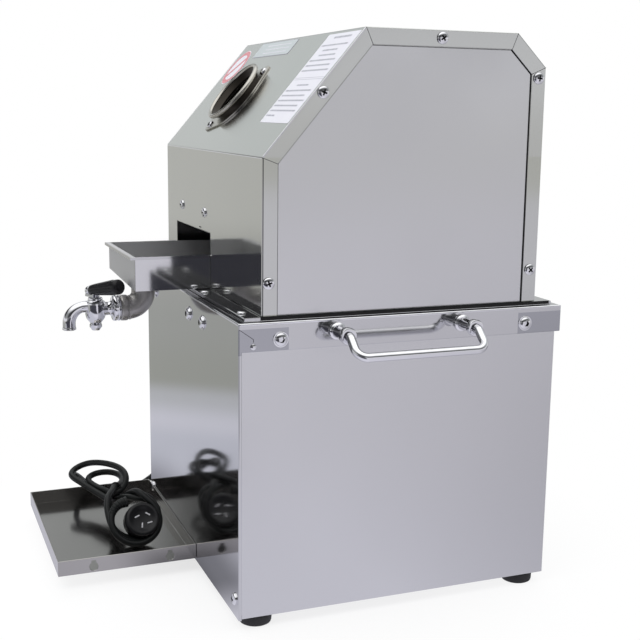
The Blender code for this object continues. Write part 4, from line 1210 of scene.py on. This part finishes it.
def studio():
    """A white room with a dark band round its front and right walls, and two soft lamps."""
    world = bpy.data.worlds.new("studio")
    bpy.context.scene.world = world
    world.use_nodes = True
    tree = world.node_tree
    tree.nodes.clear()
    x, y, z = node(tree, "SeparateXYZ", {0: node(tree, "TexCoord", output="Generated")}).node.outputs
    height = maths(tree, "MULTIPLY_ADD", z, 0.5, 0.5)
    ground = ((0.0, 0.56), (0.495, (0.6, 0.6, 0.58)))
    bright = ramp(
        tree, height, *ground, (0.505, 0.78), (0.6, (0.73, 0.75, 0.75)), (0.68, (0.7, 0.735, 0.74)),
        (0.8, (0.8, 0.83, 0.85)), (1.0, 0.92))
    dark = ramp(
        tree, height, *ground, (0.505, (0.9, 0.9, 0.96)), (0.55, (0.85, 0.85, 0.91)), (0.58, 0.2),
        (0.61, 0.06), (0.75, 0.03), (0.8, 0.5), (0.84, 0.85), (1.0, 0.92))
    # the heading of a direction as 0 to 1, with 0.5 straight to the left
    heading = maths(tree, "ARCTAN2", maths(tree, "MULTIPLY", y, -1), maths(tree, "MULTIPLY", x, -1))
    heading = maths(tree, "MULTIPLY_ADD", heading, 0.5 / pi, 0.5)
    belt = ramp(
        tree, heading, (0.0, 0.9), (0.14, 0.8), (0.25, 0.3), (0.35, 0.0), (0.455, 0.45), (0.478, 0.45),
        (0.495, 0.0), (0.528, 0.0), (0.545, 1.0), (0.66, 1.0), (0.75, 0.6), (1.0, 0.9))
    light = mix(tree, belt, bright, dark)
    # the unlit side of the room, where the camera stands
    gloom = ramp(tree, heading, (0.0, 0.0), (0.82, 0.0), (0.88, 1.0), (0.97, 1.0), (0.995, 0.0))
    gloom = maths(tree, "MULTIPLY", gloom, ramp(tree, height, (0.0, 1.0), (0.72, 1.0), (0.8, 0.0)))
    light = mix(tree, maths(tree, "MULTIPLY", gloom, 0.8), light, (0.03, 0.03, 0.035))
    overhead = ramp(tree, height, (0.0, 0.0), (0.82, 0.0), (0.9, 1.0))
    strength = maths(tree, "MULTIPLY_ADD", overhead, 0.6, 1.0)
    room = node(tree, "Background", {"Color": light, "Strength": strength})
    by_ray(tree, node(tree, "Background", {"Color": (1, 1, 1)}), room, "OutputWorld")

    for name, spot, size, power in (("key", (0.6, -1.6, 2.2), 1.6, 24), ("fill", (-1.4, 0.4, 2.0), 1.8, 10)):
        data = bpy.data.lights.new(name, "AREA")
        data.size = size
        data.energy = power
        lamp = put(name, data)
        lamp.matrix_world = aim(spot, Vector(spot) - Vector((0, 0, 0.3)))
        lamp.visible_glossy = False
    bpy.context.scene.view_settings.view_transform = "Standard"
    bpy.context.scene.cycles.glossy_bounces = 12


def floor():
    """A plain pale floor that runs into the white room. What the steel reflects of it glows, with painted
    light and shade in place of lighting.
    """
    bm = bmesh.new()
    revolve(bm, [(r, 0) for r in (0, 0.4, 0.8, 1.6, 3.2, 6.4)], steps=96)
    obj = put("floor", mesh_of("floor", bm))
    obj.location.z = -0.0003
    mat = bpy.data.materials.new("floor")
    mat.use_nodes = True
    obj.data.materials.append(mat)
    tree = mat.node_tree
    tree.nodes.clear()

    def calc(operation, *values):
        return maths(tree, operation, *values)

    where = node(tree, "TexCoord", output="Object")
    x, y, z = node(tree, "SeparateXYZ", {0: where}).node.outputs
    away = node(tree, "VectorMath", {0: where}, "Value", operation="LENGTH")
    # painted light: the tone the steel shows of the floor, changing towards the left and front
    toward_left = calc("SUBTRACT", calc("MULTIPLY", x, -0.8), calc("MULTIPLY", y, 0.6))
    tone = ramp(
        tree, calc("MULTIPLY_ADD", toward_left, 0.2, 0.2), (0.0, (0.8, 0.79, 0.86)),
        (0.17, (0.77, 0.765, 0.85)), (0.22, (0.66, 0.66, 0.74)), (0.3, (0.62, 0.63, 0.71)),
        (0.321, (0.7, 0.7, 0.78)), (0.35, (0.56, 0.57, 0.6)), (0.375, (0.4, 0.41, 0.38)),
        (0.48, (0.42, 0.43, 0.41)), (0.68, (0.48, 0.48, 0.46)), (1.0, (0.6, 0.6, 0.58)))
    # shade on the ground just before the cabinet
    before = calc("MULTIPLY_ADD", y, -5.0, -0.56)
    shade = ramp(tree, before, (0.0, 0.8), (0.12, 0.7), (0.45, 0.0), (1.0, 0.0))
    beside = ramp(tree, calc("ADD", x, 0.5), (0.0, 0.0), (0.3, 1.0), (0.56, 1.0), (0.67, 0.0))
    tone = mix(tree, calc("MULTIPLY", shade, beside), tone, (0.05, 0.05, 0.06))
    # the dim ground out at the right, from level with the cabinet forwards
    dim = ramp(tree, calc("MULTIPLY_ADD", x, 1.0, -0.5), (0.0, 0.0), (0.1, 0.0), (0.4, 1.0))
    forwards = calc("DIVIDE", calc("MULTIPLY_ADD", y, -1.0, CENTRE_Y), x)
    side = ramp(tree, forwards, (0.0, 0.0), (0.02, 0.0), (0.12, 1.0))
    tone = mix(tree, calc("MULTIPLY", dim, side), tone, (0.06, 0.06, 0.075))
    # to the right the floor falls off from the front towards the back
    across = calc("MAXIMUM", calc("ADD", x, 0.4), 0.4)
    swing = calc("DIVIDE", calc("SUBTRACT", y, CENTRE_Y), across)
    swing = calc("MINIMUM", calc("MAXIMUM", swing, 0.0), 0.7)
    near = calc("MAXIMUM", calc("MULTIPLY_ADD", away, -0.2, 0.75), 0.2)
    tone = mix(tree, calc("MULTIPLY", swing, near), tone, (0.1, 0.1, 0.1))
    paper = node(tree, "BsdfDiffuse", {"Color": (0.93, 0.93, 0.94)})
    glow = node(tree, "Emission", {"Color": (1, 1, 1), "Strength": 1.0})
    far = calc("MINIMUM", calc("MULTIPLY_ADD", away, 0.8, 0.64), 1.0)
    shown = node(tree, "MixShader", {0: far, 1: paper, 2: glow})
    # other rays meet the glowing floor with its painted tone, not a lit floor
    by_ray(tree, shown, node(tree, "Emission", {"Color": tone}), "OutputMaterial")


camera()
lead()
special_steels()
dress_nodes()
fasteners()
seams()
folds()
rivets()
labels()
inlet()
tray_hem()
tap_elbow()
tap_valve()
tap_lever()
handles()
feet()
rollers()
louvres()
switch_marks()
floor()
studio()
